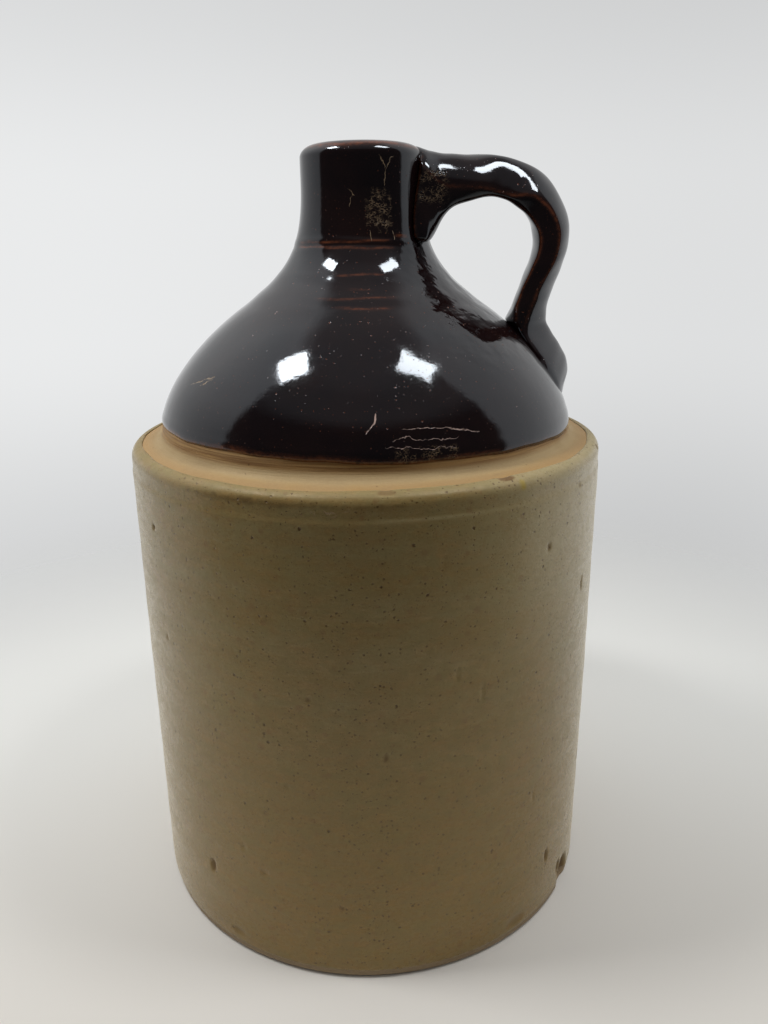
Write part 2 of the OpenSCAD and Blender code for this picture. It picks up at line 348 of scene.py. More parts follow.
def use(tree, shared, **inputs):
    """A shared node group placed in a material with its own values."""
    return put(tree, "ShaderNodeGroup", inputs, node_tree=shared).outputs[0]


FLOAT = "NodeSocketFloat"
VECTOR = "NodeSocketVector"
# Range that most values of a noise texture lie in
NOISE_RANGE = (0.3, 0.7)


def make_mottle():
    """Cloudy change over the surface, from 0 to 1, with its height in millimetres and how many times
    wider than high it is."""
    sockets = {"Size": (FLOAT, 10.0), "Stretch": (FLOAT, 1.0), "Roughness": (FLOAT, 0.5)}
    tree, given, out = group("mottle", sockets, ["Mask"])
    scale = calc(tree, "DIVIDE", PER_METRE, given["Size"])
    level = calc(tree, "DIVIDE", 1.0, given["Stretch"])
    spot = vector(tree, "MULTIPLY", place(tree), joined(tree, level, level, 1.0))
    cloud = noise(tree, spot, scale, 4.0, given["Roughness"])
    tree.links.new(ramp(tree, cloud["Fac"], *NOISE_RANGE), out["Mask"])
    return tree


def bent_place(tree, scale, detail, reach):
    """The point's place, shifted a little by a noise texture, in metres."""
    bend = noise(tree, place(tree), scale, detail)["Color"]
    return vector(tree, "ADD", place(tree), scaled(tree, bend, reach))


def make_specks():
    """Round specks in a share of the cells of a grid, with cell size and speck radius in millimetres."""
    sockets = {"Cell": (FLOAT, 3.0), "Radius": (FLOAT, 0.3), "Share": (FLOAT, 0.4)}
    tree, given, out = group("specks", sockets, ["Mask"])
    scale = calc(tree, "DIVIDE", PER_METRE, given["Cell"])
    spot = bent_place(tree, 1500.0, 1.0, 0.0008)
    cells = put(tree, "ShaderNodeTexVoronoi", {"Vector": spot, "Scale": scale})
    picked = put(tree, "ShaderNodeSeparateColor", {"Color": cells.outputs["Color"]}).outputs
    reach = calc(tree, "DIVIDE", given["Radius"], given["Cell"])
    own_reach = times(tree, reach, calc(tree, "ADD", picked["Green"], 0.4))
    inner_reach = times(tree, own_reach, 0.55)
    dot = ramp(tree, cells.outputs["Distance"], own_reach, inner_reach)
    chosen = calc(tree, "LESS_THAN", picked["Red"], given["Share"])
    tree.links.new(times(tree, dot, chosen), out["Mask"])
    return tree


def make_turning_lines():
    """Fine level lines that a turning tool leaves round the wall, from 0 to 1."""
    tree, given, out = group("turning_lines", {"Pitch": (FLOAT, 1.0)}, ["Mask"])
    level = calc(tree, "DIVIDE", PER_METRE, given["Pitch"])
    around = times(tree, level, 0.02)
    spot = vector(tree, "MULTIPLY", place(tree), joined(tree, around, around, level))
    lines = noise(tree, spot, 1.0, 3.0, 0.6)
    tree.links.new(ramp(tree, lines["Fac"], *NOISE_RANGE), out["Mask"])
    return tree


def make_crackle():
    """A broken net of fine crooked cracks that run mostly level, with a cell height and a line width in
    millimetres."""
    tree, given, out = group("crackle", {"Cell": (FLOAT, 1.0), "Width": (FLOAT, 0.1)}, ["Mask"])
    level = vector(tree, "MULTIPLY", bent_place(tree, 900.0, 2.0, 0.0016), (0.5, 0.5, 1.0))
    scale = calc(tree, "DIVIDE", PER_METRE, given["Cell"])
    net = put(tree, "ShaderNodeTexVoronoi", {"Vector": level, "Scale": scale}, feature="DISTANCE_TO_EDGE")
    half = calc(tree, "DIVIDE", given["Width"], given["Cell"])
    lines = ramp(tree, net.outputs["Distance"], half, times(tree, half, 0.3))
    kept = ramp(tree, noise(tree, place(tree), 500.0, 2.0)["Fac"], 0.40, 0.58)
    tree.links.new(times(tree, lines, kept), out["Mask"])
    return tree


def make_scratch():
    """A crooked line between two places on the wall, given as turn in radians and height in metres, with
    a width in millimetres that dwindles at its ends."""
    sockets = {"Start": (VECTOR, (0, 0, 0)), "End": (VECTOR, (0, 0, 0)), "Width": (FLOAT, 0.4),
               "Wave": (FLOAT, 0.5)}
    tree, given, out = group("scratch", sockets, ["Mask"])
    xyz = parts_of(tree, place(tree))
    turn = calc(tree, "ARCTAN2", xyz["X"], times(tree, xyz["Y"], -1.0))
    sizes = joined(tree, wall_radius(tree), 1.0)
    bend = vector(tree, "SUBTRACT", noise(tree, place(tree), 420.0, 4.0)["Color"], (0.5, 0.5, 0.5))
    shift = scaled(tree, bend, times(tree, given["Wave"], 0.0035))
    away = vector(tree, "SUBTRACT", joined(tree, turn, xyz["Z"]), given["Start"])
    ahead = vector(tree, "SUBTRACT", given["End"], given["Start"])
    run = vector(tree, "MULTIPLY", ahead, sizes)
    crooked = vector(tree, "ADD", vector(tree, "MULTIPLY", away, sizes), shift)
    here = vector(tree, "MULTIPLY", crooked, (1, 1, 0))
    square = measured(tree, "DOT_PRODUCT", run, run)
    passed = calc(tree, "DIVIDE", measured(tree, "DOT_PRODUCT", here, run), square)
    share = put(tree, "ShaderNodeClamp", {"Value": passed}).outputs[0]
    gap = measured(tree, "DISTANCE", here, scaled(tree, run, share))
    taper = times(tree, calc(tree, "SUBTRACT", 1.0, share), times(tree, share, 4.0))
    width = times(tree, calc(tree, "ADD", calc(tree, "SQRT", taper), 0.25), given["Width"])
    half = times(tree, width, MM / 2)
    tree.links.new(ramp(tree, gap, half, times(tree, half, 0.4)), out["Mask"])
    return tree


mottle = make_mottle()
specks = make_specks()
turning_lines = make_turning_lines()
crackle = make_crackle()
scratch = make_scratch()


def attribute(tree, name):
    """A mask that is stored on the mesh."""
    return put(tree, "ShaderNodeAttribute", attribute_name=name).outputs["Fac"]


def blank(name):
    """A material without nodes."""
    material = bpy.data.materials.new(name)
    material.use_nodes = True
    material.node_tree.nodes.clear()
    return material


def surface(name, build):
    """A material whose build function returns the sockets and values of its Principled BSDF, and the
    height of its fine relief in millimetres."""
    material = blank(name)
    tree = material.node_tree
    values, height = build(tree)
    relief = put(tree, "ShaderNodeBump", {"Height": height, "Strength": 1.0, "Distance": MM})
    shader = put(tree, "ShaderNodeBsdfPrincipled", {**values, "Normal": relief.outputs["Normal"]})
    put(tree, "ShaderNodeOutputMaterial", {"Surface": shader.outputs[0]})
    return material


def total(tree, *terms):
    """The sum of masks, each with its height."""
    height = 0.0
    for mask, share in terms:
        height = calc(tree, "MULTIPLY_ADD", mask, share, height)
    return height


def on_wall(turn, z):
    """A place on the jug's wall as turn in radians and height in metres."""
    return math.radians(turn), z * MM, 0


TAN = (0.315, 0.215, 0.055)
TAN_WARM = (0.300, 0.178, 0.038)
TAN_GREEN = (0.335, 0.265, 0.125)
TAN_RED = (0.330, 0.175, 0.050)
TAN_OLIVE = (0.230, 0.190, 0.070)
# Painted light: paler tan for the lit upper side toward the handle and for the highlight on the mould line
TAN_PAINTED_LIGHT = (0.46, 0.385, 0.215)
TAN_EDGE = (0.25, 0.205, 0.095)
YELLOW = (0.38, 0.27, 0.035)
SPECK = (0.075, 0.032, 0.004)
PEACH = (0.40, 0.245, 0.090)
CREAM = (0.43, 0.305, 0.140)
COLLAR = (0.46, 0.285, 0.112)
COLLAR_DARK = (0.26, 0.140, 0.050)
CHIP = (0.15, 0.088, 0.040)
BISCUIT = (0.34, 0.25, 0.15)
DARK_BROWN = (0.0050, 0.0024, 0.0030)
RED_BROWN = (0.013, 0.0050, 0.0042)
RUST = (0.17, 0.050, 0.020)
SCRATCHED = (0.55, 0.38, 0.32)
OCHRE = (0.36, 0.25, 0.15)
GLAZE_EDGE = (0.20, 0.085, 0.032)
LINING = (0.05, 0.022, 0.014)
LINING_PALE = (0.10, 0.045, 0.025)


def tan_glaze(tree):
    """Satin tan glaze, mottled from olive to red-brown, with dark and rusty specks. It is pale where its
    edge runs thin and bare in its chips."""
    cloud = use(tree, mottle, Size=46.0)
    blotch = use(tree, mottle, Size=8.0, Stretch=2.6, Roughness=0.62)
    streak = use(tree, mottle, Size=2.2, Stretch=5.0, Roughness=0.6)
    fine_cloud = use(tree, mottle, Size=3.0, Stretch=1.5, Roughness=0.7)
    grain = use(tree, mottle, Size=0.9, Roughness=0.8)
    dust = use(tree, specks, Cell=1.0, Radius=0.22, Share=0.7)
    fine = use(tree, specks, Cell=1.6, Radius=0.38, Share=0.5)
    coarse = use(tree, specks, Cell=4.8, Radius=0.52, Share=0.45)
    rusty = use(tree, specks, Cell=4.5, Radius=1.30, Share=0.40)
    ruddy = use(tree, mottle, Size=4.5, Stretch=2.0, Roughness=0.6)
    lines = use(tree, turning_lines, Pitch=1.6)
    height = parts_of(tree, place(tree))["Z"]
    thin = times(tree, attribute(tree, "thin"), ramp(tree, grain, 0, 0.9, 0.25, 1.0))
    # pale carries painted light: the lit upper side toward the handle and a painted highlight on the mould
    # line
    pale = times(tree, attribute(tree, "pale"), ramp(tree, grain, 0, 0.9, 0.3, 0.6))
    # A darker band laid under the ledge's edge
    darkened = times(tree, attribute(tree, "darkened"), ramp(tree, fine_cloud, 0, 1, 0.2, 0.7))
    crazed = times(tree, use(tree, crackle, Cell=2.2, Width=0.22), attribute(tree, "crazed"))
    chipped = blend(tree, times(tree, grain, 0.35), CHIP, COLLAR_DARK)
    base = blend(tree, ramp(tree, height, 0.150, 0.020), TAN_GREEN, TAN_WARM)
    colour = painted(tree, base, [
        (cloud, 0.4, TAN),
        (blotch, 0.50, TAN_RED),
        (ruddy, 0.40, TAN_RED),
        (fine_cloud, 0.45, TAN_OLIVE),
        (streak, 0.32, TAN_OLIVE),
        (grain, 0.24, SPECK),
        (lines, 0.06, SPECK),
        (thin, 0.3, TAN_EDGE),
        (pale, 1.0, TAN_PAINTED_LIGHT),
        (darkened, 1.0, SPECK),
        (rusty, 0.22, RUST),
        (dust, 0.65, SPECK),
        (fine, 0.80, SPECK),
        (coarse, 0.95, SPECK),
        (crazed, 1.0, OCHRE),
        (attribute(tree, "yellow"), 1.0, YELLOW),
        (attribute(tree, "bare"), 1.0, chipped),
    ])
    rough = ramp(tree, fine_cloud, 0, 1, 0.22, 0.36)
    rough = calc(tree, "MULTIPLY_ADD", attribute(tree, "bare"), 0.45, rough)
    rough = calc(tree, "MULTIPLY_ADD", attribute(tree, "thin"), 0.28, rough)
    peel = use(tree, mottle, Size=1.6)
    relief = total(tree, (peel, 0.012), (lines, 0.014), (fine, -0.05), (coarse, -0.10), (fine_cloud, 0.03),
                   (grain, 0.010), (crazed, 0.05))
    return {"Base Color": colour, "Roughness": rough, "IOR": 1.5, "Specular Tint": (1.0, 0.92, 0.72),
            "Sheen Weight": 0.35, "Sheen Roughness": 0.35, "Sheen Tint": (1.0, 0.93, 0.74)}, relief


def bare_clay(tree):
    """Bare fired clay: peach on the ledge, cream in its inner corner, tan with level lines on the collar."""
    height, radius = parts_of(tree, place(tree))["Z"], wall_radius(tree)
    lines = use(tree, turning_lines, Pitch=0.55)
    cloud = use(tree, mottle, Size=16.0)
    grain = use(tree, mottle, Size=0.8, Roughness=0.7)
    fine = use(tree, specks, Cell=4.0, Radius=0.3, Share=0.3)
    collar = ramp(tree, height, (ledge_top_z + 0.4) * MM, (ledge_top_z + 2.6) * MM)
    foot = ramp(tree, height, 20 * MM, 10 * MM)
    base = blend(tree, ramp(tree, radius, (shoulder_r + 6) * MM, (shoulder_r + 1.5) * MM), PEACH, CREAM)
    colour = painted(tree, base, [
        (cloud, 0.35, BISCUIT),
        (collar, 1.0, blend(tree, lines, COLLAR, COLLAR_DARK)),
        (foot, 1.0, BISCUIT),
        (grain, 0.16, COLLAR_DARK),
        (fine, 0.5, SPECK),
    ])
    relief = total(tree, (lines, 0.05), (grain, 0.03), (fine, -0.05))
    return {"Base Color": colour, "Roughness": ramp(tree, cloud, 0, 1, 0.62, 0.8), "IOR": 1.45}, relief


def slip_clay(tree):
    """Fired joint slip, coarser than the clay."""
    grain = use(tree, mottle, Size=0.8, Roughness=0.7)
    cloud = use(tree, mottle, Size=9.0)
    colour = painted(tree, blend(tree, cloud, BISCUIT, COLLAR), [(grain, 0.25, COLLAR_DARK)])
    relief = total(tree, (grain, 0.05))
    return {"Base Color": colour, "Roughness": ramp(tree, grain, 0, 1, 0.7, 0.85), "IOR": 1.45}, relief


# Pale scratches in the brown glaze: turn and height of both ends, width and wave in millimetres
SCRATCHES = [
    ((3.6, 201.2), (3.0, 198.2), 0.60, 0.3),
    ((3.1, 198.8), (1.1, 195.8), 0.38, 0.3),
    ((9.5, 196.9), (22.0, 196.4), 0.20, 0.4),
    ((20.5, 196.5), (29.4, 194.3), 0.30, 0.9),
    ((7.3, 193.6), (10.1, 194.6), 0.18, 0.5),
    ((10.1, 194.6), (14.6, 193.1), 0.20, 0.8),
    ((14.4, 193.1), (23.4, 193.2), 0.22, 1.0),
    ((5.2, 191.7), (22.5, 190.6), 0.16, 0.9),
]
# Ochre lines where the brown glaze has crazed, in the same terms
CRAZES = [
    ((-57.5, 205.0), (-51.5, 207.6), 0.60, 0.8),
    ((-52.0, 207.4), (-46.8, 208.8), 0.60, 0.5),
    ((-46.9, 208.6), (-51.8, 205.4), 0.55, 0.6),
    ((17.0, 278.0), (23.4, 273.3), 0.28, 0.8),
    ((29.7, 277.8), (23.4, 273.3), 0.28, 0.8),
    ((23.4, 273.6), (21.0, 268.2), 0.34, 0.6),
    ((-10.4, 267.5), (-5.4, 265.2), 0.30, 0.8),
    ((-7.0, 265.8), (-10.6, 261.4), 0.26, 0.8),
    ((7.0, 254.2), (8.5, 250.6), 0.26, 0.3),
    ((27.0, 254.2), (28.0, 251.0), 0.30, 0.3),
]


def marked(tree, marks):
    """Mask of a list of lines on the brown glaze."""
    mask = 0.0
    for (turn_a, z_a), (turn_b, z_b), width, wave in marks:
        start, end = on_wall(turn_a, z_a), on_wall(turn_b, z_b)
        line = use(tree, scratch, Start=start, End=end, Width=width, Wave=wave)
        mask = calc(tree, "MAXIMUM", line, mask)
    return mask


def brown_glaze(tree):
    """Glossy near-black brown glaze that breaks to rust where it runs thin, with pinholes, crazes and
    scratches."""
    cloud = use(tree, mottle, Size=24.0)
    streaks = use(tree, mottle, Size=5.0, Roughness=0.7)
    pinholes = use(tree, specks, Cell=2.6, Radius=0.30, Share=0.40)
    fine = use(tree, specks, Cell=1.2, Radius=0.18, Share=0.5)
    breakup = use(tree, mottle, Size=1.6, Stretch=2.0, Roughness=0.7)
    broken = use(tree, mottle, Size=1.3, Roughness=0.6)
    thin = times(tree, attribute(tree, "thin"), ramp(tree, breakup, 0, 1, 0.25, 1.0))
    edge = times(tree, attribute(tree, "edge"), breakup)
    scratched = times(tree, marked(tree, SCRATCHES), ramp(tree, broken, 0.1, 0.45, 0.25, 1.0))
    lines = times(tree, marked(tree, CRAZES), ramp(tree, broken, 0.1, 0.6, 0.15, 0.8))
    net = times(tree, use(tree, crackle, Cell=0.66, Width=0.075), 0.60)
    crazed = calc(tree, "MAXIMUM", times(tree, net, attribute(tree, "crazed")), lines)
    colour = painted(tree, blend(tree, times(tree, cloud, 0.7), DARK_BROWN, RED_BROWN), [
        (fine, 0.45, RUST),
        (pinholes, 0.6, RUST),
        (thin, 1.0, RUST),
        (edge, 1.0, GLAZE_EDGE),
        (crazed, 0.8, OCHRE),
        (scratched, 1.0, SCRATCHED),
    ])
    dull = use(tree, mottle, Size=18.0, Stretch=1.6, Roughness=0.7)
    rough = calc(tree, "ADD", ramp(tree, streaks, 0, 1, 0.03, 0.07), times(tree, dull, 0.05))
    rough = calc(tree, "MULTIPLY_ADD", scratched, 0.4, rough)
    rough = calc(tree, "MULTIPLY_ADD", crazed, 0.3, rough)
    peel = use(tree, mottle, Size=1.2, Roughness=0.6)
    ripple = use(tree, mottle, Size=11.0)
    throwing = use(tree, mottle, Size=1.8, Stretch=12.0)
    crumple = use(tree, mottle, Size=7.0, Roughness=0.35)
    ragged = times(tree, attribute(tree, "rippled"), crumple)
    relief = total(tree, (peel, 0.003), (ripple, 0.028), (throwing, 0.006), (ragged, 0.15), (pinholes, -0.06),
                   (fine, -0.015), (scratched, -0.05), (crazed, -0.03))
    return {"Base Color": colour, "Roughness": rough, "IOR": 1.49,
            "Specular Tint": (0.84, 0.92, 1.0)}, relief


def inner_glaze(tree):
    """Glossy brown lining glaze."""
    cloud = use(tree, mottle, Size=14.0)
    lines = use(tree, turning_lines, Pitch=4.0)
    colour = blend(tree, cloud, LINING, LINING_PALE)
    relief = total(tree, (lines, 0.08), (cloud, 0.05))
    return {"Base Color": colour, "Roughness": ramp(tree, cloud, 0, 1, 0.12, 0.22), "IOR": 1.55}, relief


body_clay_look = surface("body_clay", bare_clay)
shoulder_clay_look = surface("shoulder_clay", bare_clay)
slip_look = surface("joint_slip", slip_clay)
tan_look = surface("tan_glaze", tan_glaze)
brown_look = surface("brown_glaze", brown_glaze)
inner_look = surface("inner_glaze", inner_glaze)


# Chips in the body's wall: turn, height, half width, half height, depth, and how bare the clay is in them
BODY_CHIPS = [
    (61.0, 5.5, 5.5, 7.5, 2.6, 1.0),
    (57.0, 12.0, 1.6, 3.5, 0.9, 0.9),
    (-40.6, 31.6, 1.5, 3.0, 0.9, 0.8),
    (49.3, 26.0, 1.3, 3.0, 0.8, 0.8),
    (-53.7, 159.4, 1.2, 1.2, 0.6, 0.9),
    (70.3, 51.2, 1.2, 2.4, 0.7, 0.6),
    (59.9, 133.5, 0.8, 3.4, 0.5, 0.7),
    (42.6, 155.4, 1.0, 1.8, 0.45, 0.6),
    (37.7, 7.1, 5.0, 2.2, 0.35, 0.35),
    (-33.1, 7.9, 3.2, 1.6, 0.35, 0.3),
    (-24.3, 39.9, 1.8, 1.4, 0.35, 0.0),
    (-29.7, 47.8, 1.0, 1.8, 0.3, 0.0),
    (-20.0, 45.5, 0.8, 1.2, 0.3, 0.4),
    (-17.4, 78.5, 0.9, 1.2, 0.3, 0.0),
    (4.1, 92.1, 1.0, 1.8, 0.35, 0.6),
    (-11.7, 112.8, 0.7, 1.2, 0.3, 0.5),
    (-52.2, 118.9, 0.7, 1.4, 0.3, 0.4),
    (-6.1, 30.8, 0.9, 0.9, 0.4, 0.7),
    (54.6, 172.3, 0.8, 0.9, 0.4, 0.6),
    (31.2, 181.1, 3.3, 0.45, 0.30, 1.0),
    (73.0, 178.9, 1.2, 1.2, 0.3, 0.9),
    (5.0, 180.6, 3.2, 0.6, 0.3, 0.6),
]
# Patches on the body's wall, crazed, stained yellow, and a darker band under the ledge's edge: turn, height,
# half width, half height and strength
BODY_CRAZED = [(-7.6, 175.0, 5.8, 1.1, 1.0), (-3.0, 175.4, 2.2, 0.8, 0.7)]
BODY_YELLOW = [(34.1, 179.0, 1.4, 1.5, 0.75)]
BODY_DARKENED = [(-22.0, 177.4, 24.0, 1.3, 0.8), (4.0, 177.0, 8.0, 1.0, 0.6)]
# Upright nicks in the body's wall: turn, lower and upper height, half width and depth
BODY_NICKS = [
    (16.2, 155.5, 162.0, 0.45, 0.35),
    (15.8, 118.0, 131.5, 0.40, 0.25),
    (19.3, 116.0, 123.0, 0.60, 0.40),
    (25.4, 107.0, 114.8, 0.60, 0.40),
    (41.8, 56.0, 62.5, 0.50, 0.35),
]


def ellipse(turn, z, mark_turn, mark_z, half_w, half_h):
    """Distance from a mark's middle in shares of its half sizes."""
    across = np.radians((turn - mark_turn + 180) % 360 - 180) * body_r / half_w
    return np.sqrt(across ** 2 + ((z - mark_z) / half_h) ** 2)


def chip_depth(turn, z):
    """Depth of the body's chips and nicks."""
    depth = 0.0
    for mark_turn, mark_z, half_w, half_h, deep, _ in BODY_CHIPS:
        depth = depth + deep * smooth(1.15, 0.45, ellipse(turn, z, mark_turn, mark_z, half_w, half_h))
    for mark_turn, low, high, half_w, deep in BODY_NICKS:
        shape = ellipse(turn, z, mark_turn, (low + high) / 2, half_w, (high - low) / 2)
        depth = depth + deep * smooth(1.2, 0.3, shape)
    return depth


def chip_bare(turn, z):
    """How bare the clay is in the body's chips."""
    bare = 0.0
    for mark_turn, mark_z, half_w, half_h, _, share in BODY_CHIPS:
        away = ellipse(turn, z, mark_turn, mark_z, half_w, half_h)
        bare = np.maximum(bare, share * smooth(1.05, 0.75, away))
    return bare


def patches(marks):
    """The mask of ragged patches on the body's wall."""
    def shown_at(turn, z):
        shown = 0.0
        for mark_turn, mark_z, half_w, half_h, strength in marks:
            ragged = 0.15 * np.sin(turn * 2.9) + 0.12 * np.sin(turn * 0.9 + z * 3)
            away = ellipse(turn, z, mark_turn, mark_z, half_w, half_h) + ragged
            shown = np.maximum(shown, strength * smooth(1.2, 0.5, away))
        return shown
    return shown_at


def mould_line(turn, z):
    """A faint level ridge under the ledge."""
    level = 172.5 + 0.4 * np.sin(np.radians(turn * 3))
    return bump(z, level, 0.45) * smooth(-4, 8, turn) * smooth(58, 44, turn)


def body_painted_light(turn, z):
    """Painted light on the tan coat: a paler upper side toward the handle, where more light falls, and a
    painted highlight along the mould line.
    """
    # Painted light on the upper side toward the handle, where more light falls
    side = smooth(12, 42, turn) * smooth(100, 75, turn) * smooth(95, 165, z)
    return np.maximum(side, 0.9 * mould_line(turn, z))


def body_relief(turn, z):
    """Unevenness, mould line and chips of the lower body."""
    waves = 0.05 * np.sin(z / 2.9 + 2 * np.sin(np.radians(turn)))
    return 0.30 * wobble(turn, z, 1) + waves + 0.10 * mould_line(turn, z) - chip_depth(turn, z)


def body_line(depth, low_z, rows):
    """Outside of the lower body from a low height to the top of the ledge's edge."""
    z = np.linspace(low_z, ledge_z - ledge_edge_r, rows)
    r = body_r - depth - band_step * smooth(-band_edge, band_edge, z - (ledge_z - band_h))
    wall = outline(np.stack([r, z], axis=-1), (1, 0))
    points, away = arc((body_r - band_step - ledge_edge_r, ledge_z - ledge_edge_r), ledge_edge_r - depth,
                       0, 90, 14)
    return np.concatenate([wall, outline(points[1:], away[1:])])


# How much the coat's outermost rows follow the wave of its edge, and the round nose of that edge
HEM_SHARES = (0.1, 0.4, 0.7, 1.0)
nose_reach = 0.35
nose_drop = 0.15
thin_edge_h = 2.2


# Waves of that edge and of the thin glaze beside it: count, start and height
LEDGE_EDGE_WAVES = [(5, 0, 0.30), (11, 1, 0.22), (23, 2, 0.14)]
THIN_EDGE_WAVES = [(7, 0, 0.7), (17, 1, 0.4)]


def ledge_edge(turn):
    """Wave of the tan coat's edge on the ledge, in millimetres inward."""
    return -waves(turn, LEDGE_EDGE_WAVES)


def body_thin(turn, z):
    """Where the tan coat runs thin: along its edge on the ledge."""
    return smooth(ledge_z - thin_edge_h + 0.4 * waves(turn, THIN_EDGE_WAVES), ledge_z - 0.5, z)


def make_body_coat():
    """Tan coat on the lower body, with a rounded edge at the foot and on the ledge."""
    outside = body_line(0, foot_bare_h + glaze_t, 210)
    outside[-len(HEM_SHARES):, 5] = HEM_SHARES
    inside = body_line(glaze_t, foot_bare_h + glaze_t, 40)[::-1]
    inside[:len(HEM_SHARES), 5] = HEM_SHARES[::-1]
    nose_top = outline([[outside[-1, 0] - nose_reach, ledge_z - nose_drop]], (0, 1), 1, 1)
    nose_low = outline([[body_r - glaze_t / 2, foot_bare_h]], (1, 0))
    rows = np.concatenate([outside, nose_top, inside, nose_low])
    masks = {"thin": body_thin, "bare": chip_bare, "crazed": patches(BODY_CRAZED),
             "yellow": patches(BODY_YELLOW), "darkened": patches(BODY_DARKENED), "pale": body_painted_light}
    coat = turned("body_coat", rows, body_coat_turns, tan_look, body_relief, ledge_edge, masks)
    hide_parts("body_glaze")


def ledge_height(r):
    """Height of the bare ledge at a radius."""
    edge = body_r - band_step - ledge_edge_r
    share = (edge - r) / (edge - shoulder_r + glaze_t)
    return ledge_z - glaze_t + (ledge_top_z - ledge_z + glaze_t) * share


def cavity_line():
    """Inside of the lower body, from the seat's inner edge down to the middle of the floor."""
    t = np.linspace(0, 90, 12)
    flange_low_z = seat_z - flange_t
    curved = np.stack([seat_in_r + (cavity_r - seat_in_r) * (1 - np.cos(np.radians(t))),
                       flange_low_z - flange_curve_h * np.sin(np.radians(t))], axis=-1)
    corner, _ = arc((cavity_r - floor_corner_r, floor_t + floor_corner_r), floor_corner_r, 0, -90, 12)
    flange = [[seat_in_r, seat_z], [seat_in_r, flange_low_z]]
    return np.concatenate([flange, curved, corner, [[axis_gap, floor_t]]])


def make_body_clay():
    """Clay of the lower body: foot ring, wall under the coat, bare ledge, seat and inside."""
    clay_r = body_r - glaze_t
    foot_in_r = clay_r - foot_w
    foot = outline([[axis_gap, foot_recess], [foot_in_r - foot_recess, foot_recess], [foot_in_r, 0],
                    [clay_r - foot_w / 2, 0]], (0, 1), 0)
    edge, away = arc((clay_r - base_edge_r, base_edge_r), base_edge_r, -90, 0, 8)
    heel = outline(edge, away, np.linspace(0, 1, 8))
    wall = body_line(glaze_t, base_edge_r + 0.6, 200)
    ledge_r = np.linspace(body_r - band_step - ledge_edge_r, shoulder_r + corner_w, 12)[1:]
    ledge = outline(np.stack([ledge_r, ledge_height(ledge_r)], axis=-1), (0, 1))
    collar_r = shoulder_r - glaze_t
    low = np.array([ledge_r[-1], ledge_height(ledge_r[-1])])
    high = np.array([collar_r + 0.04, dome_z + corner_rise])
    share = np.append(np.linspace(0, 1, 14)[1:-1], [0.998, 1])
    corner_curve = [low, low + [-corner_pull, 0.12], high - [0, corner_lift], high]
    corner = outline(curve(corner_curve, share), (0, 1), 1 - share)
    seat = [[collar_r - 0.3, dome_z + corner_rise - 0.1], [collar_r, seat_z]]
    inside = outline(np.concatenate([seat, cavity_line()]), (0, 1), 0)
    rows = np.concatenate([foot, heel, wall, ledge, corner, inside])
    clay = turned("body_clay", rows, clay_turns, body_clay_look, body_relief, closed=False)
    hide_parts("lower_body")


# Outline of dome, flare and neck, and how much its radius changes with height
pot_line = np.concatenate([
    curve(dome_curve, np.linspace(0, 1, 120)),
    curve(flare_curve, np.linspace(0, 1, 120))[1:],
    [[neck_r, flare_top_z + neck_blend_h], [neck_r, rim_z]],
])
pot_lean = np.gradient(pot_line[:, 0], pot_line[:, 1])
# Level of the brown coat's lower edge, how far it runs below that, and its waves: count, start and height
glaze_line_z = curve(dome_curve, glaze_line_share)[1]
glaze_run = 1.4
GLAZE_EDGE_WAVES = [(1, 0, 1.5), (6, 1, 0.22), (13, 0, 0.16), (29, 2, 0.1)]


def dome_radius(z):
    """Radius of the jug's outline at a height on the dome, the flare or the neck."""
    return np.interp(z, pot_line[:, 1], pot_line[:, 0])


def pot_slope(points):
    """How much the jug's radius changes with height, beside the points."""
    return np.interp(points[..., 2], pot_line[:, 1], pot_lean)


# Ridges round the flare and the dome: height, half width and rise
RIDGES = [
    (250.6, 1.0, 0.10),
    (249.2, 0.8, -0.08),
    (239.9, 1.2, 0.05),
    (236.6, 1.6, -0.06),
    (232.8, 1.4, 0.07),
    (230.0, 1.4, -0.06),
    (226.5, 2.0, 0.06),
]
# Rust lines on them: height, half width, first and last turn, and strength
RUST_LINES = [
    (250.9, 0.30, -62, 22, 0.75),
    (248.8, 0.32, -64, 24, 0.75),
    (239.8, 0.26, -14, 12, 0.65),
    (232.8, 0.28, -22, 16, 0.45),
    (230.2, 0.30, -10, 12, 0.65),
    (235.4, 0.22, -6, 4, 0.4),
    (252.0, 0.4, 30, 40, 0.8),
]


def pot_relief(turn, z):
    """Unevenness and throwing ridges of the dome and the neck."""
    a = np.radians(turn)
    rise = 0.0
    for height, half_w, up in RIDGES:
        rise = rise + up * bump(z + 0.5 * np.sin(a + height) + 0.25 * np.sin(3 * a), height, half_w)
    fade = smooth(dome_z + 2, dome_z + 12, z)
    return fade * (0.22 * wobble(turn, z, 2) + 0.010 * np.sin(z / 1.3 + 3 * np.sin(a))) + rise


def pot_thin(turn, z):
    """Where the brown coat runs thin: the rust lines, the lip and the coat's own lower edge."""
    a = np.radians(turn)
    thin = 0.0
    for height, half_w, start, end, strength in RUST_LINES:
        level = height + 0.35 * np.sin(2 * a + height) + 0.12 * np.sin(13 * a + height)
        ends = smooth(start - 4, start + 4, turn) * smooth(end + 4, end - 4, turn)
        thin = np.maximum(thin, strength * ends * bump(z, level, half_w))
    lip = 0.75 * bump(z, rim_z - 1.3 + 0.3 * np.sin(4 * a), 0.75)
    above = z - glaze_line_z + glaze_edge(turn) + 0.4 * np.sin(9 * a) * np.sin(4 * a + 1)
    edge = 0.8 * smooth(2.2, 0.3, above) * (1 - 0.5 * smooth(15, 45, turn))
    return np.maximum(thin, np.maximum(lip, edge))


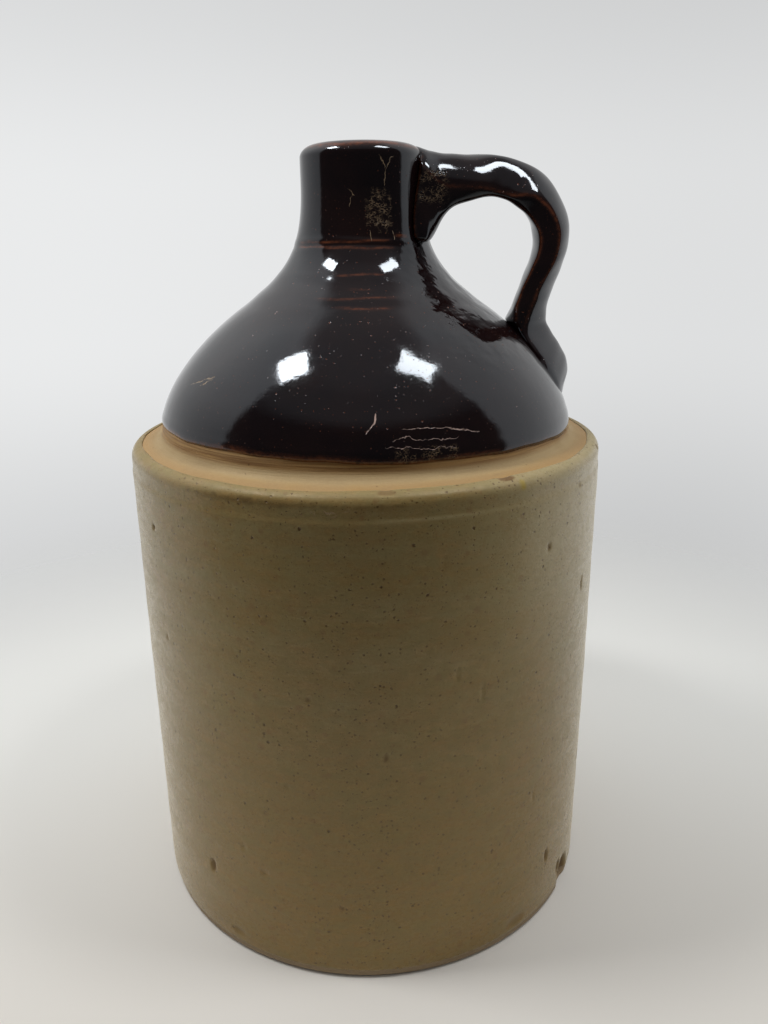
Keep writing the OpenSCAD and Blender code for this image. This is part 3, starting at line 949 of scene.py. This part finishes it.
def pot_edge(turn, z):
    """The coat's thinnest rim at its lower edge."""
    a = np.radians(turn)
    above = z - glaze_line_z + glaze_edge(turn) + 0.35 * np.sin(11 * a) * np.sin(3 * a + 1)
    return smooth(1.2, 0.1, above) * (1 - 0.5 * smooth(15, 45, turn))


# Crazed patches of the brown coat: turn, height, half width and half height
CRAZED = [(15.8, 260.6, 3.9, 5.7), (14.8, 189.4, 9.8, 1.9)]


def pot_crazed(turn, z):
    """Patches of the brown coat with a net of pale cracks."""
    crazed = 0.0
    for mark_turn, mark_z, half_w, half_h in CRAZED:
        across = np.radians(turn - mark_turn) * dome_radius(z) / half_w
        upward = (z - mark_z) / half_h
        ragged = 0.12 * np.sin(z * 2.3) + 0.1 * np.sin(turn * 1.1)
        crazed = np.maximum(crazed, smooth(1.2, 0.85, (across ** 4 + upward ** 4) ** 0.25 + ragged))
    return crazed


def pot_rippled(turn, z):
    """Where the brown coat is rippled: beside and below the handle."""
    return smooth(22, 34, turn) * smooth(100, 80, turn) * smooth(206, 216, z) * smooth(254, 248, z)


def glaze_edge(turn):
    """How far the brown coat's lower edge runs below its level, in millimetres: farther toward the handle."""
    return glaze_run + waves(turn, GLAZE_EDGE_WAVES)


def curve_rows(c, t, depth, swell=1.0, hem=0.0):
    """Rows of an outline at a depth under one of the two curves."""
    away = outward(along(c, t))
    return outline(curve(c, t) - np.asarray(depth)[..., None] * away, away, swell, hem)


def lip_rows(depth, steps):
    """Rows of the neck's outline at a depth, from the flare's top over the lip into the mouth."""
    z = np.linspace(flare_top_z, rim_z - lip_round_h, steps)[1:]
    neck = outline(np.stack([np.full(len(z), neck_r - depth), z], axis=-1), (1, 0))
    a = np.radians(np.linspace(0, 90, 16))[1:]
    away = np.stack([lip_round_h * np.cos(a), lip_round_w * np.sin(a)], axis=-1)
    away /= np.linalg.norm(away, axis=1, keepdims=True)
    bend = np.stack([neck_r + lip_round_w * (np.cos(a) - 1), rim_z + lip_round_h * (np.sin(a) - 1)], axis=-1)
    lip = outline(bend - depth * away, away, np.linspace(1, 0, 15))
    flat_r = np.linspace(neck_r - lip_round_w, mouth_r + mouth_round_r, 5)[1:-1]
    flat = outline(np.stack([flat_r, np.full(len(flat_r), rim_z - depth)], axis=-1), (0, 1), 0)
    points, away = arc((mouth_r + mouth_round_r, rim_z - mouth_round_r), mouth_round_r - depth, 90, 180, 8)
    return np.concatenate([neck, lip, flat, outline(points, away, 0)])


# The brown coat's lower edge: its round nose, the bead of glaze above it, and how far its wave reaches up
nose_w = 1.1
bead_at = 2.1
bead_w = 1.2
bead_rise = 0.16
wave_reach = 5


def pot_rows(depth, dome_steps, flare_steps, bead):
    """Rows of the brown coat's outline from its lower edge over dome, flare and lip into the mouth."""
    t = np.linspace(glaze_line_share, 1, dome_steps)
    run = np.concatenate([[0], np.cumsum(np.linalg.norm(np.diff(curve(dome_curve, t), axis=0), axis=1))])
    own_depth = np.full(len(t), float(depth))
    if bead:
        nose = 1 - np.clip(run / nose_w, 0, 1)
        own_depth += glaze_t * (1 - np.sqrt(1 - nose ** 2)) - bead_rise * bump(run, bead_at, bead_w)
    dome = curve_rows(dome_curve, t, own_depth, 1, np.clip(1 - run / wave_reach, 0, 1) ** 2)
    flare = curve_rows(flare_curve, np.linspace(0, 1, flare_steps)[1:], depth)
    return np.concatenate([dome, flare, lip_rows(depth, max(4, flare_steps // 4))])


def make_pot_coat():
    """Brown coat over dome and neck: one skin on the real jug, so one piece here."""
    outside = pot_rows(0, 86, 90, True)
    inside = pot_rows(glaze_t, 20, 20, False)[::-1]
    rows = np.concatenate([outside, inside])
    masks = {"thin": pot_thin, "edge": pot_edge, "crazed": pot_crazed, "rippled": pot_rippled}
    coat = turned("shoulder_and_neck_coat", rows, pot_coat_turns, brown_look, pot_relief,
                  glaze_edge, masks)
    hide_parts("shoulder_glaze", "neck_glaze")


def bore_foot():
    """Lower end of the straight bore, on the clay."""
    return [mouth_r + glaze_t, rim_z - mouth_round_r - bore_h]


def throat_point(low):
    """Where the bore opens toward the inside of the flare."""
    high = bore_foot()
    return [low[0] * (1 - throat_share) + high[0] * throat_share,
            low[1] * throat_share + high[1] * (1 - throat_share)]


def make_shoulder_clay():
    """Clay of the dome, from its seat in the ledge over the bare collar to its joint with the neck."""
    collar = curve_rows(dome_curve, np.linspace(0, 1, 54), glaze_t)
    flare = curve_rows(flare_curve, np.linspace(0, neck_joint_share, 16)[1:], glaze_t)
    inner_flare = curve_rows(flare_curve, np.linspace(neck_joint_share, 0, 12), inner_depth, 0)
    inner_dome = curve_rows(dome_curve, np.linspace(1, glaze_line_share, 20)[1:], inner_depth, 0)
    seat = outline([[seat_in_r, seat_z], [shoulder_r - glaze_t, seat_z]], (0, -1), 0)
    rows = np.concatenate([collar, flare, inner_flare, inner_dome, seat])
    clay = turned("shoulder_clay", rows, clay_turns, shoulder_clay_look, pot_relief)
    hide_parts("shoulder_dome")


def make_neck_clay():
    """Clay of the neck, from its joint with the dome over the lip and down the bore."""
    outside = curve_rows(flare_curve, np.linspace(neck_joint_share, 1, 24), glaze_t)
    low = curve_rows(flare_curve, np.array([neck_joint_share]), inner_depth, 0)
    bore = outline([bore_foot(), throat_point(low[0, :2])], (1, 0), 0)
    rows = np.concatenate([outside, lip_rows(glaze_t, 8), bore, low])
    clay = turned("neck_clay", rows, neck_clay_turns, shoulder_clay_look, pot_relief)
    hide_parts("neck")


def make_liner():
    """Brown lining of the inside, seen down the mouth."""
    flare_t = np.linspace(0, neck_joint_share, 16)
    dome = curve_rows(dome_curve, np.linspace(glaze_line_share, 1, 20), inner_depth)[:, :2]
    flare = curve_rows(flare_curve, flare_t[1:], inner_depth)[:, :2]
    throat = [throat_point(flare[-1]), bore_foot(), [mouth_r + glaze_t, rim_z - mouth_round_r]]
    skin = np.concatenate([cavity_line()[::-1], [[seat_in_r, dome_z]], dome, flare, throat])
    step = np.gradient(skin, axis=0)
    step /= np.linalg.norm(step, axis=1, keepdims=True)
    inward = np.stack([-step[:, 1], step[:, 0]], axis=-1)
    over = skin + glaze_t * inward
    over[:, 0] = np.maximum(over[:, 0], axis_gap)
    rows = outline(np.concatenate([skin, over[::-1]]), (0, 1), 0)
    liner = turned("liner_coat", rows, liner_turns, inner_look)
    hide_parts("liner_glaze")


# Handle: rings between an outer and an inner rail
# A run counts the stretches of the rails: 0 in the neck, 1 at the arch, 2 at the side, 3 at the waist, 4 at
# the heel and 5 at the tip
handle_inset = 2.2
handle_reach = shoulder_r - handle_inset
strap_t = 13
strap_w = 23.4
strap_drop = 3.5
pad_drop = 0.2
pad_root_w = 1.7
pad_foot_rise = 1
pad_top_w = 19
pad_foot_w = 37
crown_h = 4
inner_crown_h = 2.4
waist_w = 23
waist_stand = 11.6
tail_w = 38
tail_t = 6.6
tail_tip_w = 12
arch_x_share = 0.43
arch_inner_x_share = 0.59
side_z_share = 0.48
waist_share = 0.62
heel_share = 0.32
tip_share = 0.13
crotch_share = 0.86
root_depth = shoulder_t
rail_steps = [52, 56, 52, 46, 44]
# Turn of the strap about its own run toward the photographed side, more at the arch and the waist
arch_twist = 19
side_twist = 8
waist_twist = 8
# How much rounder the strap's outer face is at the arch, and how it comes to a crest just past its top
arch_crown = 2.4
crest_h = 2.8
crest_sharp = 0.6
# Unevenness of the outer and the inner rail: run, half length and rise away from the strap
OUTER_SWELLS = [
    (0.02, 0.06, -0.30),
    (0.20, 0.08, 0.20),
    (0.56, 0.16, -0.50),
    (0.86, 0.12, -0.20),
    (1.17, 0.22, 0.36),
    (1.30, 0.10, -0.25),
    (1.46, 0.16, 0.50),
    (2.74, 0.34, -1.35),
    (3.70, 0.25, 0.30),
]
INNER_SWELLS = [
    (0.20, 0.11, 0.9),
    (0.54, 0.22, -3.9),
    (0.90, 0.20, -0.4),
    (1.15, 0.40, -0.9),
    (2.30, 0.20, 0.5),
    (2.74, 0.25, -1.2),
]
# How far the strap is pressed in above its tail
waist_tuck = 0.2
# How round the strap's arrises are, and the fillets on the neck and the dome
outer_arris = 1.7
inner_arris = 1.6
neck_fillet = 3.0
tail_fillet = 0.8
# Points across the outer and inner face of the strap, and along each side
face_points = 30
side_points = 24


def on_dome(t, stand):
    """A point at a height above the dome."""
    return curve(dome_curve, t) + stand * outward(along(dome_curve, t))


def chord(p, p_dir, p_pull, q, q_dir, q_pull):
    """A cubic curve between two points in given directions."""
    p_dir, q_dir = np.array(p_dir, float), np.array(q_dir, float)
    length = np.linalg.norm(np.subtract(q, p))
    return [np.array(p, float), p + p_pull * length * p_dir / np.linalg.norm(p_dir),
            q - q_pull * length * q_dir / np.linalg.norm(q_dir), np.array(q, float)]


def make_rails():
    """The outer and the inner rail, each as a chain of curves."""
    top_z = rim_z - strap_drop
    waist = on_dome(waist_share, waist_stand)
    side_z = top_z - side_z_share * (top_z - waist[1])
    inner_reach = handle_reach - strap_t
    right, down = (1, 0), (0, -1)
    pad_foot_dir = np.array([0.93, 0.37])
    crotch_dir = (-0.17, -0.98)
    tail_dir = -along(dome_curve, heel_share)
    neck = np.array([mouth_r + glaze_t + pad_root_w, rim_z - pad_drop])
    arch = np.array([neck_r + arch_x_share * (handle_reach - neck_r), top_z])
    side = np.array([handle_reach, side_z])
    heel = on_dome(heel_share, tail_t)
    tip = on_dome(tip_share, -tail_t / 3)
    outer = [chord(neck, (1, -0.05), 0.3, arch, right, 0.62), chord(arch, right, 0.375, side, down, 0.37),
             chord(side, down, 0.345, waist, down, 0.29), chord(waist, down, 0.24, heel, down, 0.34),
             chord(heel, down, 0.3, tip, down, 0.3)]
    foot = curve(flare_curve, neck_joint_share) + [0, pad_foot_rise]
    in_neck = foot - root_depth * pad_foot_dir / np.linalg.norm(pad_foot_dir)
    in_arch = np.array([neck_r + arch_inner_x_share * (inner_reach - neck_r), top_z - strap_t - glaze_t])
    in_side = np.array([inner_reach, side_z - strap_t / 4])
    in_waist = on_dome(crotch_share, 0)
    in_heel = on_dome(heel_share, -root_depth)
    in_tip = on_dome(tip_share, -root_depth)
    inner = [chord(in_neck, pad_foot_dir, 0.31, in_arch, right, 0.47),
             chord(in_arch, right, 0.42, in_side, down, 0.395),
             chord(in_side, down, 0.31, in_waist, crotch_dir, 0.3),
             chord(in_waist, tail_dir, 0.3, in_heel, tail_dir, 0.3),
             chord(in_heel, tail_dir, 0.3, in_tip, down, 0.3)]
    return outer, inner


outer_rail, inner_rail = make_rails()
outer_widths = np.array([pad_top_w, strap_w, strap_w, waist_w, tail_w, tail_tip_w]) / 2
inner_widths = np.array([pad_foot_w, strap_w, strap_w, waist_w, tail_w, tail_tip_w]) / 2


def swell_at(swells, run):
    """Rise of a rail's unevenness at a run."""
    return sum(rise * bump(run, middle, half) for middle, half, rise in swells)


def width_at(widths, k, t):
    """Half width of the strap in stretch k: the tail's end is round, the others change evenly."""
    if k == len(rail_steps) - 1:
        return widths[k + 1] + (widths[k] - widths[k + 1]) * np.sqrt(1 - t * t)
    return widths[k] + (widths[k + 1] - widths[k]) * smooth(0, 1, t)


def section(thick, outer_w, inner_w, crown, crown_power, outer_round, inner_round):
    """Points of the strap's section: across, and from the outer face's crown inward. The second value is
    their distance from the nearest arris."""
    u = np.linspace(-1, 1, face_points + 1)
    v = np.linspace(0, 1, side_points + 1)
    in_z = thick - inner_crown_h
    out_face = np.stack([u * outer_w, crown * np.abs(u) ** crown_power], axis=-1)
    in_face = np.stack([-u * inner_w, thick - inner_crown_h * u * u], axis=-1)
    right = np.stack([outer_w + (inner_w - outer_w) * v, crown + (in_z - crown) * v], axis=-1)
    left = right[::-1] * [-1, 1]
    loop = np.concatenate([out_face[:-1], right[:-1], in_face[:-1], left[:-1]])
    corners = np.array([[outer_w, crown], [-outer_w, crown], [inner_w, in_z], [-inner_w, in_z]])
    arris = np.linalg.norm(loop[:, None] - corners, axis=-1).min(axis=1)
    step = np.linalg.norm(np.roll(loop, -1, axis=0) - loop, axis=1)
    spot = np.cumsum(step) - step
    apart = np.abs(spot[:, None] - spot)
    apart = np.minimum(apart, step.sum() - apart)
    reach = outer_round + (inner_round - outer_round) * np.clip(loop[:, 1] / thick, 0, 1)
    weights = np.exp(-(apart / reach[:, None]) ** 2) * (step + np.roll(step, 1))
    return weights @ loop / weights.sum(axis=1, keepdims=True), arris


def crest_at(run):
    """How much of a crest the strap's outer face has."""
    return smooth(0.88, 1.12, run) * smooth(1.54, 1.18, run)


def crown_at(run, out_mid, half_w):
    """Height of the outer face's crown. On the tail the face runs down to the dome on both sides."""
    stand = pot_gap(np.array([out_mid[0], 0, out_mid[1]]))
    flat = crown_h + arch_crown * bump(run, 0.70, 0.55) + crest_h * crest_at(run)
    spread = stand + half_w ** 2 / (2 * shoulder_r) + 0.6
    return flat + (max(flat, spread) - flat) * smooth(2.7, 3.2, run)


def pot_gap(points):
    """Distance of points from the dome and the neck, along the wall's own direction there."""
    r = np.hypot(points[..., 0], points[..., 1])
    return (r - dome_radius(points[..., 2])) / np.sqrt(1 + pot_slope(points) ** 2)


def pot_away(points):
    """Directions away from the wall of the dome and the neck, beside the points."""
    slope = pot_slope(points)
    r = np.maximum(np.hypot(points[..., 0], points[..., 1]), 1e-6)
    away = np.stack([points[..., 0] / r, points[..., 1] / r, -slope], axis=-1)
    return away / np.sqrt(1 + slope ** 2)[..., None]


def twist_at(run):
    """Turn of the strap about its own run, in radians."""
    arch = arch_twist * smooth(0.12, 0.55, run) * smooth(2.0, 1.25, run)
    side = side_twist * smooth(0, 0.6, run) * smooth(3.05, 2.75, run)
    return math.radians(arch + side + waist_twist * bump(run, 2.62, 0.28))


def strap_ring(k, t, coat):
    """Ring of the strap at the share t of stretch k, and its points' distance from the nearest arris."""
    run = k + t
    out_mid, in_mid = curve(outer_rail[k], t), curve(inner_rail[k], t)
    inward = in_mid - out_mid
    inward = inward / np.linalg.norm(inward)
    out_mid = out_mid - swell_at(OUTER_SWELLS, run) * inward
    in_mid = in_mid + swell_at(INNER_SWELLS, run) * inward
    thick = np.linalg.norm(in_mid - out_mid)
    outer_w = width_at(outer_widths, k, t) - coat
    inner_w = width_at(inner_widths, k, t) - coat
    outer_round = outer_arris + 0.9 * bump(run, 0.8, 0.6) + 1.2 * smooth(2.8, 3.4, run)
    inner_round = inner_arris + 3.9 * smooth(0.9, 0.5, run)
    crown_power = 2 - 0.7 * smooth(2.7, 3.2, run) - crest_sharp * crest_at(run)
    points, arris = section(thick - 2 * coat, outer_w, inner_w, crown_at(run, out_mid, outer_w), crown_power,
                            outer_round, inner_round)
    across, deep = points[:, 0], points[:, 1] + coat - thick / 2 + waist_tuck * bump(run, 2.75, 0.35)
    twist = twist_at(run)
    deep, across = (deep * math.cos(twist) - across * math.sin(twist),
                    deep * math.sin(twist) + across * math.cos(twist))
    middle = (out_mid + in_mid) / 2
    return np.stack([middle[0] + deep * inward[0], across, middle[1] + deep * inward[1]], axis=-1), arris


def strap_rings(coat):
    """All rings of the strap, with their points' distances from the nearest arris and their runs."""
    rings, arrises, runs = [], [], []
    for k, steps in enumerate(rail_steps):
        last = k == len(rail_steps) - 1
        for t in np.linspace(0, 1, steps + 1)[:None if last else -1]:
            ring, arris = strap_ring(k, t, coat)
            rings.append(ring)
            arrises.append(arris)
            runs.append(np.full(len(ring), k + t))
    return np.array(rings), np.array(arrises), np.array(runs)


def fillet_rings(rings, runs):
    """The rings with fillets toward the neck and the dome and a slight wave, and their gap from the wall."""
    normal = np.cross(np.gradient(rings, axis=0), np.roll(rings, -1, axis=1) - np.roll(rings, 1, axis=1))
    normal /= -np.maximum(np.linalg.norm(normal, axis=-1, keepdims=True), 1e-9)
    gap = pot_gap(rings)
    fillet = np.where(runs < 2.5, neck_fillet, tail_fillet)
    spread = fillet * (1 - np.sqrt(1 - np.clip(1 - gap / fillet, 0, 1) ** 2))
    spread = spread * np.clip(1 + gap / fillet, 0, 1)
    spread *= np.where(runs < 1, smooth(rim_z - 1, rim_z - 8, rings[..., 2]), 1)
    rings = rings + normal * spread[..., None]
    for _ in range(3):
        rings = rings - pot_away(rings) * np.where(spread > 0, pot_gap(rings) - gap, 0)[..., None]
    wave = 0.10 * np.sin(runs * 9 + rings[..., 1] / 5) + 0.05 * np.sin(runs * 23 + rings[..., 1] / 3)
    return rings + normal * (wave * smooth(0.5, 3, gap))[..., None], gap


def strap_masks(rings, runs, arrises, gap):
    """Masks of the strap: where its coat runs thin, and where it is crazed beside the neck."""
    level = rings[..., 2]
    seam = 0.6 * bump(gap, 0.7, 0.6) * smooth(2.6, 2.2, runs) * smooth(rim_z - 3.5, rim_z - 7, level)
    edge = bump(arrises, 0, 0.7) * smooth(0.5, 2.0, gap) * smooth(3.2, 2.7, runs)
    thin = np.maximum(edge * (0.2 + 0.35 * smooth(0.8, 1.15, runs)), seam)
    root = smooth(11, 8, gap) * smooth(0.8, 2.0, gap) * smooth(0.8, 0.5, runs)
    root = 0.7 * root * smooth(rim_z - 8, rim_z - 11, level) * smooth(rim_z - 21, rim_z - 18, level)
    return {"thin": thin, "crazed": root}


def strap_faces(count, around):
    """Faces between the strap's rings and over its two ends."""
    faces = []
    for i in range(count - 1):
        low, high = i * around, (i + 1) * around
        faces += [(low + j, high + j, high + (j + 1) % around, low + (j + 1) % around) for j in range(around)]
    return faces + [tuple(range(around)), tuple((count - 1) * around + j for j in reversed(range(around)))]


def make_strap(name, coat, material, node):
    """The handle at a depth under its coat, from inside the neck to inside the dome."""
    rings, arrises, runs = strap_rings(coat)
    rings, gap = fillet_rings(rings, runs)
    masks = strap_masks(rings, runs, arrises, gap)
    strap = make_mesh(name, rings.reshape(-1, 3), strap_faces(*rings.shape[:2]), material, masks)
    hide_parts(node)


def make_handle():
    """The handle's clay and its coat."""
    make_strap("handle_clay", glaze_t, shoulder_clay_look, "handle")
    make_strap("handle_coat", 0.0, brown_look, "handle_glaze")


def dress_cad_nodes():
    """The CAD nodes that stay: the two slip joints, which lie under the coats."""
    for name in ("shoulder_slip_ring", "neck_slip_ring"):
        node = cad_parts[name]
        node.data.materials.clear()
        node.data.materials.append(slip_look)


# Stage
floor_r = 0.52
floor_fade_r = 0.22
floor_turns = 96
FLOOR_RINGS = [0.02, 0.1, 0.2, 0.35, floor_r]
# Floor colours with painted shade at the front and painted light at the back
FLOOR_FRONT_SHADE = (0.80, 0.765, 0.71)
FLOOR_BACK_LIT = (0.93, 0.93, 0.90)


def make_floor():
    """A pale floor that fades into the surroundings, with painted shade toward the front and painted light
    toward the back.
    """
    material = blank("floor")
    tree = material.node_tree
    away = measured(tree, "LENGTH", place(tree))
    depth = parts_of(tree, place(tree))["Y"]
    # Painted light and shade: the floor darker toward the front and lighter toward the back
    colour = blend(tree, ramp(tree, depth, -0.16, 0.10), FLOOR_FRONT_SHADE, FLOOR_BACK_LIT)
    cloud = use(tree, mottle, Size=120.0)
    colour = painted(tree, colour, [(cloud, 0.05, FLOOR_FRONT_SHADE)])
    shader = put(tree, "ShaderNodeBsdfPrincipled", {"Base Color": colour, "Roughness": 0.9, "IOR": 1.4,
                                                    "Alpha": ramp(tree, away, floor_r, floor_fade_r)})
    put(tree, "ShaderNodeOutputMaterial", {"Surface": shader.outputs[0]})
    angles = np.linspace(0, 2 * math.pi, floor_turns, endpoint=False)
    points = [(r * math.cos(a), r * math.sin(a), 0) for r in FLOOR_RINGS for a in angles]
    faces = [tuple(range(floor_turns))]
    for i in range(len(FLOOR_RINGS) - 1):
        faces += ring_faces((i + 1) * floor_turns, i * floor_turns, floor_turns)
    mesh = bpy.data.meshes.new("floor")
    mesh.from_pydata(points, [], faces)
    mesh.materials.append(material)
    floor = bpy.data.objects.new("floor", mesh)
    bpy.context.scene.collection.objects.link(floor)


# Radiance of the tent: its walls and its opening, each low and high, and the middle overhead
LEFT_WALL = (0.73, 1.19)
RIGHT_WALL = (0.88, 0.90)
BACK_WALL = (0.63, 0.80)
OPENING = (0.06, 0.26)
overhead = 0.34
TENT_TINT = (0.985, 0.995, 1.0)
# Rise between which the side walls go from low to high
wall_rise = (0.1, 0.75)


def make_surroundings():
    """A pale light tent round the jug. Its photographed side is open and dark in reflections, and pale
    where the camera looks straight at it."""
    world = bpy.data.worlds.new("tent")
    bpy.context.scene.world = world
    world.use_nodes = True
    tree = world.node_tree
    tree.nodes.clear()
    xyz = parts_of(tree, put(tree, "ShaderNodeTexCoord").outputs["Generated"])
    rise = xyz["Z"]
    level_way = vector(tree, "NORMALIZE", joined(tree, xyz["X"], xyz["Y"]))
    front = measured(tree, "DOT_PRODUCT", level_way, (0, -1, 0))
    side = measured(tree, "DOT_PRODUCT", level_way, (1, 0, 0))
    left = ramp(tree, rise, *wall_rise, *LEFT_WALL)
    right = ramp(tree, rise, *wall_rise, *RIGHT_WALL)
    walls = between(tree, ramp(tree, side, -0.3, 0.3), left, right)
    low_back = ramp(tree, rise, -0.36, -0.10, *BACK_WALL)
    high_share = ramp(tree, rise, 0.05, 0.30, 1.0, 0.83)
    side_share = ramp(tree, side, -0.5, 0.5, 1.05, 0.92)
    back = times(tree, times(tree, low_back, high_share), side_share)
    walls = between(tree, ramp(tree, front, -0.6, -0.95), walls, back)
    opening = ramp(tree, rise, 0.58, 0.76, *OPENING)
    unseen = calc(tree, "SUBTRACT", 1.0, put(tree, "ShaderNodeLightPath").outputs["Is Camera Ray"])
    open_share = times(tree, ramp(tree, front, 0.13, 0.21), unseen)
    level = between(tree, open_share, walls, opening)
    level = between(tree, ramp(tree, rise, 0.88, 0.96), level, overhead)
    light = put(tree, "ShaderNodeBackground", {"Color": TENT_TINT, "Strength": level})
    put(tree, "ShaderNodeOutputWorld", {"Surface": light.outputs[0]})


# Lamps of the tent: place in millimetres, length and width of the panel, its turn, and its radiance
LAMPS = {
    "left_panel": ((-215, -73, 570), 107, 86, -5, 36),
    "right_panel": ((163, -95, 570), 117, 75, -5, 24),
}


def make_lamps():
    """Two small bright panels that hang over the jug on both sides and face down."""
    for name, (spot, length, width, turn, radiance) in LAMPS.items():
        lamp = bpy.data.lights.new(name, "AREA")
        lamp.shape = "RECTANGLE"
        lamp.size = length * MM
        lamp.size_y = width * MM
        lamp.energy = radiance * math.pi * lamp.size * lamp.size_y
        holder = bpy.data.objects.new(name, lamp)
        holder.location = Vector(spot) * MM
        holder.rotation_euler = (0, 0, math.radians(turn))
        bpy.context.scene.collection.objects.link(holder)


# Camera: found from the ellipses of foot, ledge and rim in the photograph
camera_spot = (6.66, -313.32, 249.97)
camera_pitch = 18.283
camera_roll = -0.63
image_side = 1024
focal_pixels = 813.29


def make_camera():
    """The photograph's camera."""
    camera = bpy.data.cameras.new("camera")
    camera.sensor_width = 36
    camera.lens = focal_pixels / image_side * camera.sensor_width
    camera.clip_start = 0.01
    holder = bpy.data.objects.new("camera", camera)
    pitch, roll = math.radians(90 - camera_pitch), math.radians(camera_roll)
    turn = Matrix.Rotation(pitch, 4, "X") @ Matrix.Rotation(roll, 4, "Z")
    holder.matrix_world = Matrix.Translation(Vector(camera_spot) * MM) @ turn
    bpy.context.scene.collection.objects.link(holder)
    bpy.context.scene.camera = holder


make_body_coat()
make_body_clay()
make_pot_coat()
make_shoulder_clay()
make_neck_clay()
make_liner()
make_handle()
dress_cad_nodes()
make_floor()
make_surroundings()
make_lamps()
make_camera()
bpy.context.scene.view_settings.view_transform = "Standard"
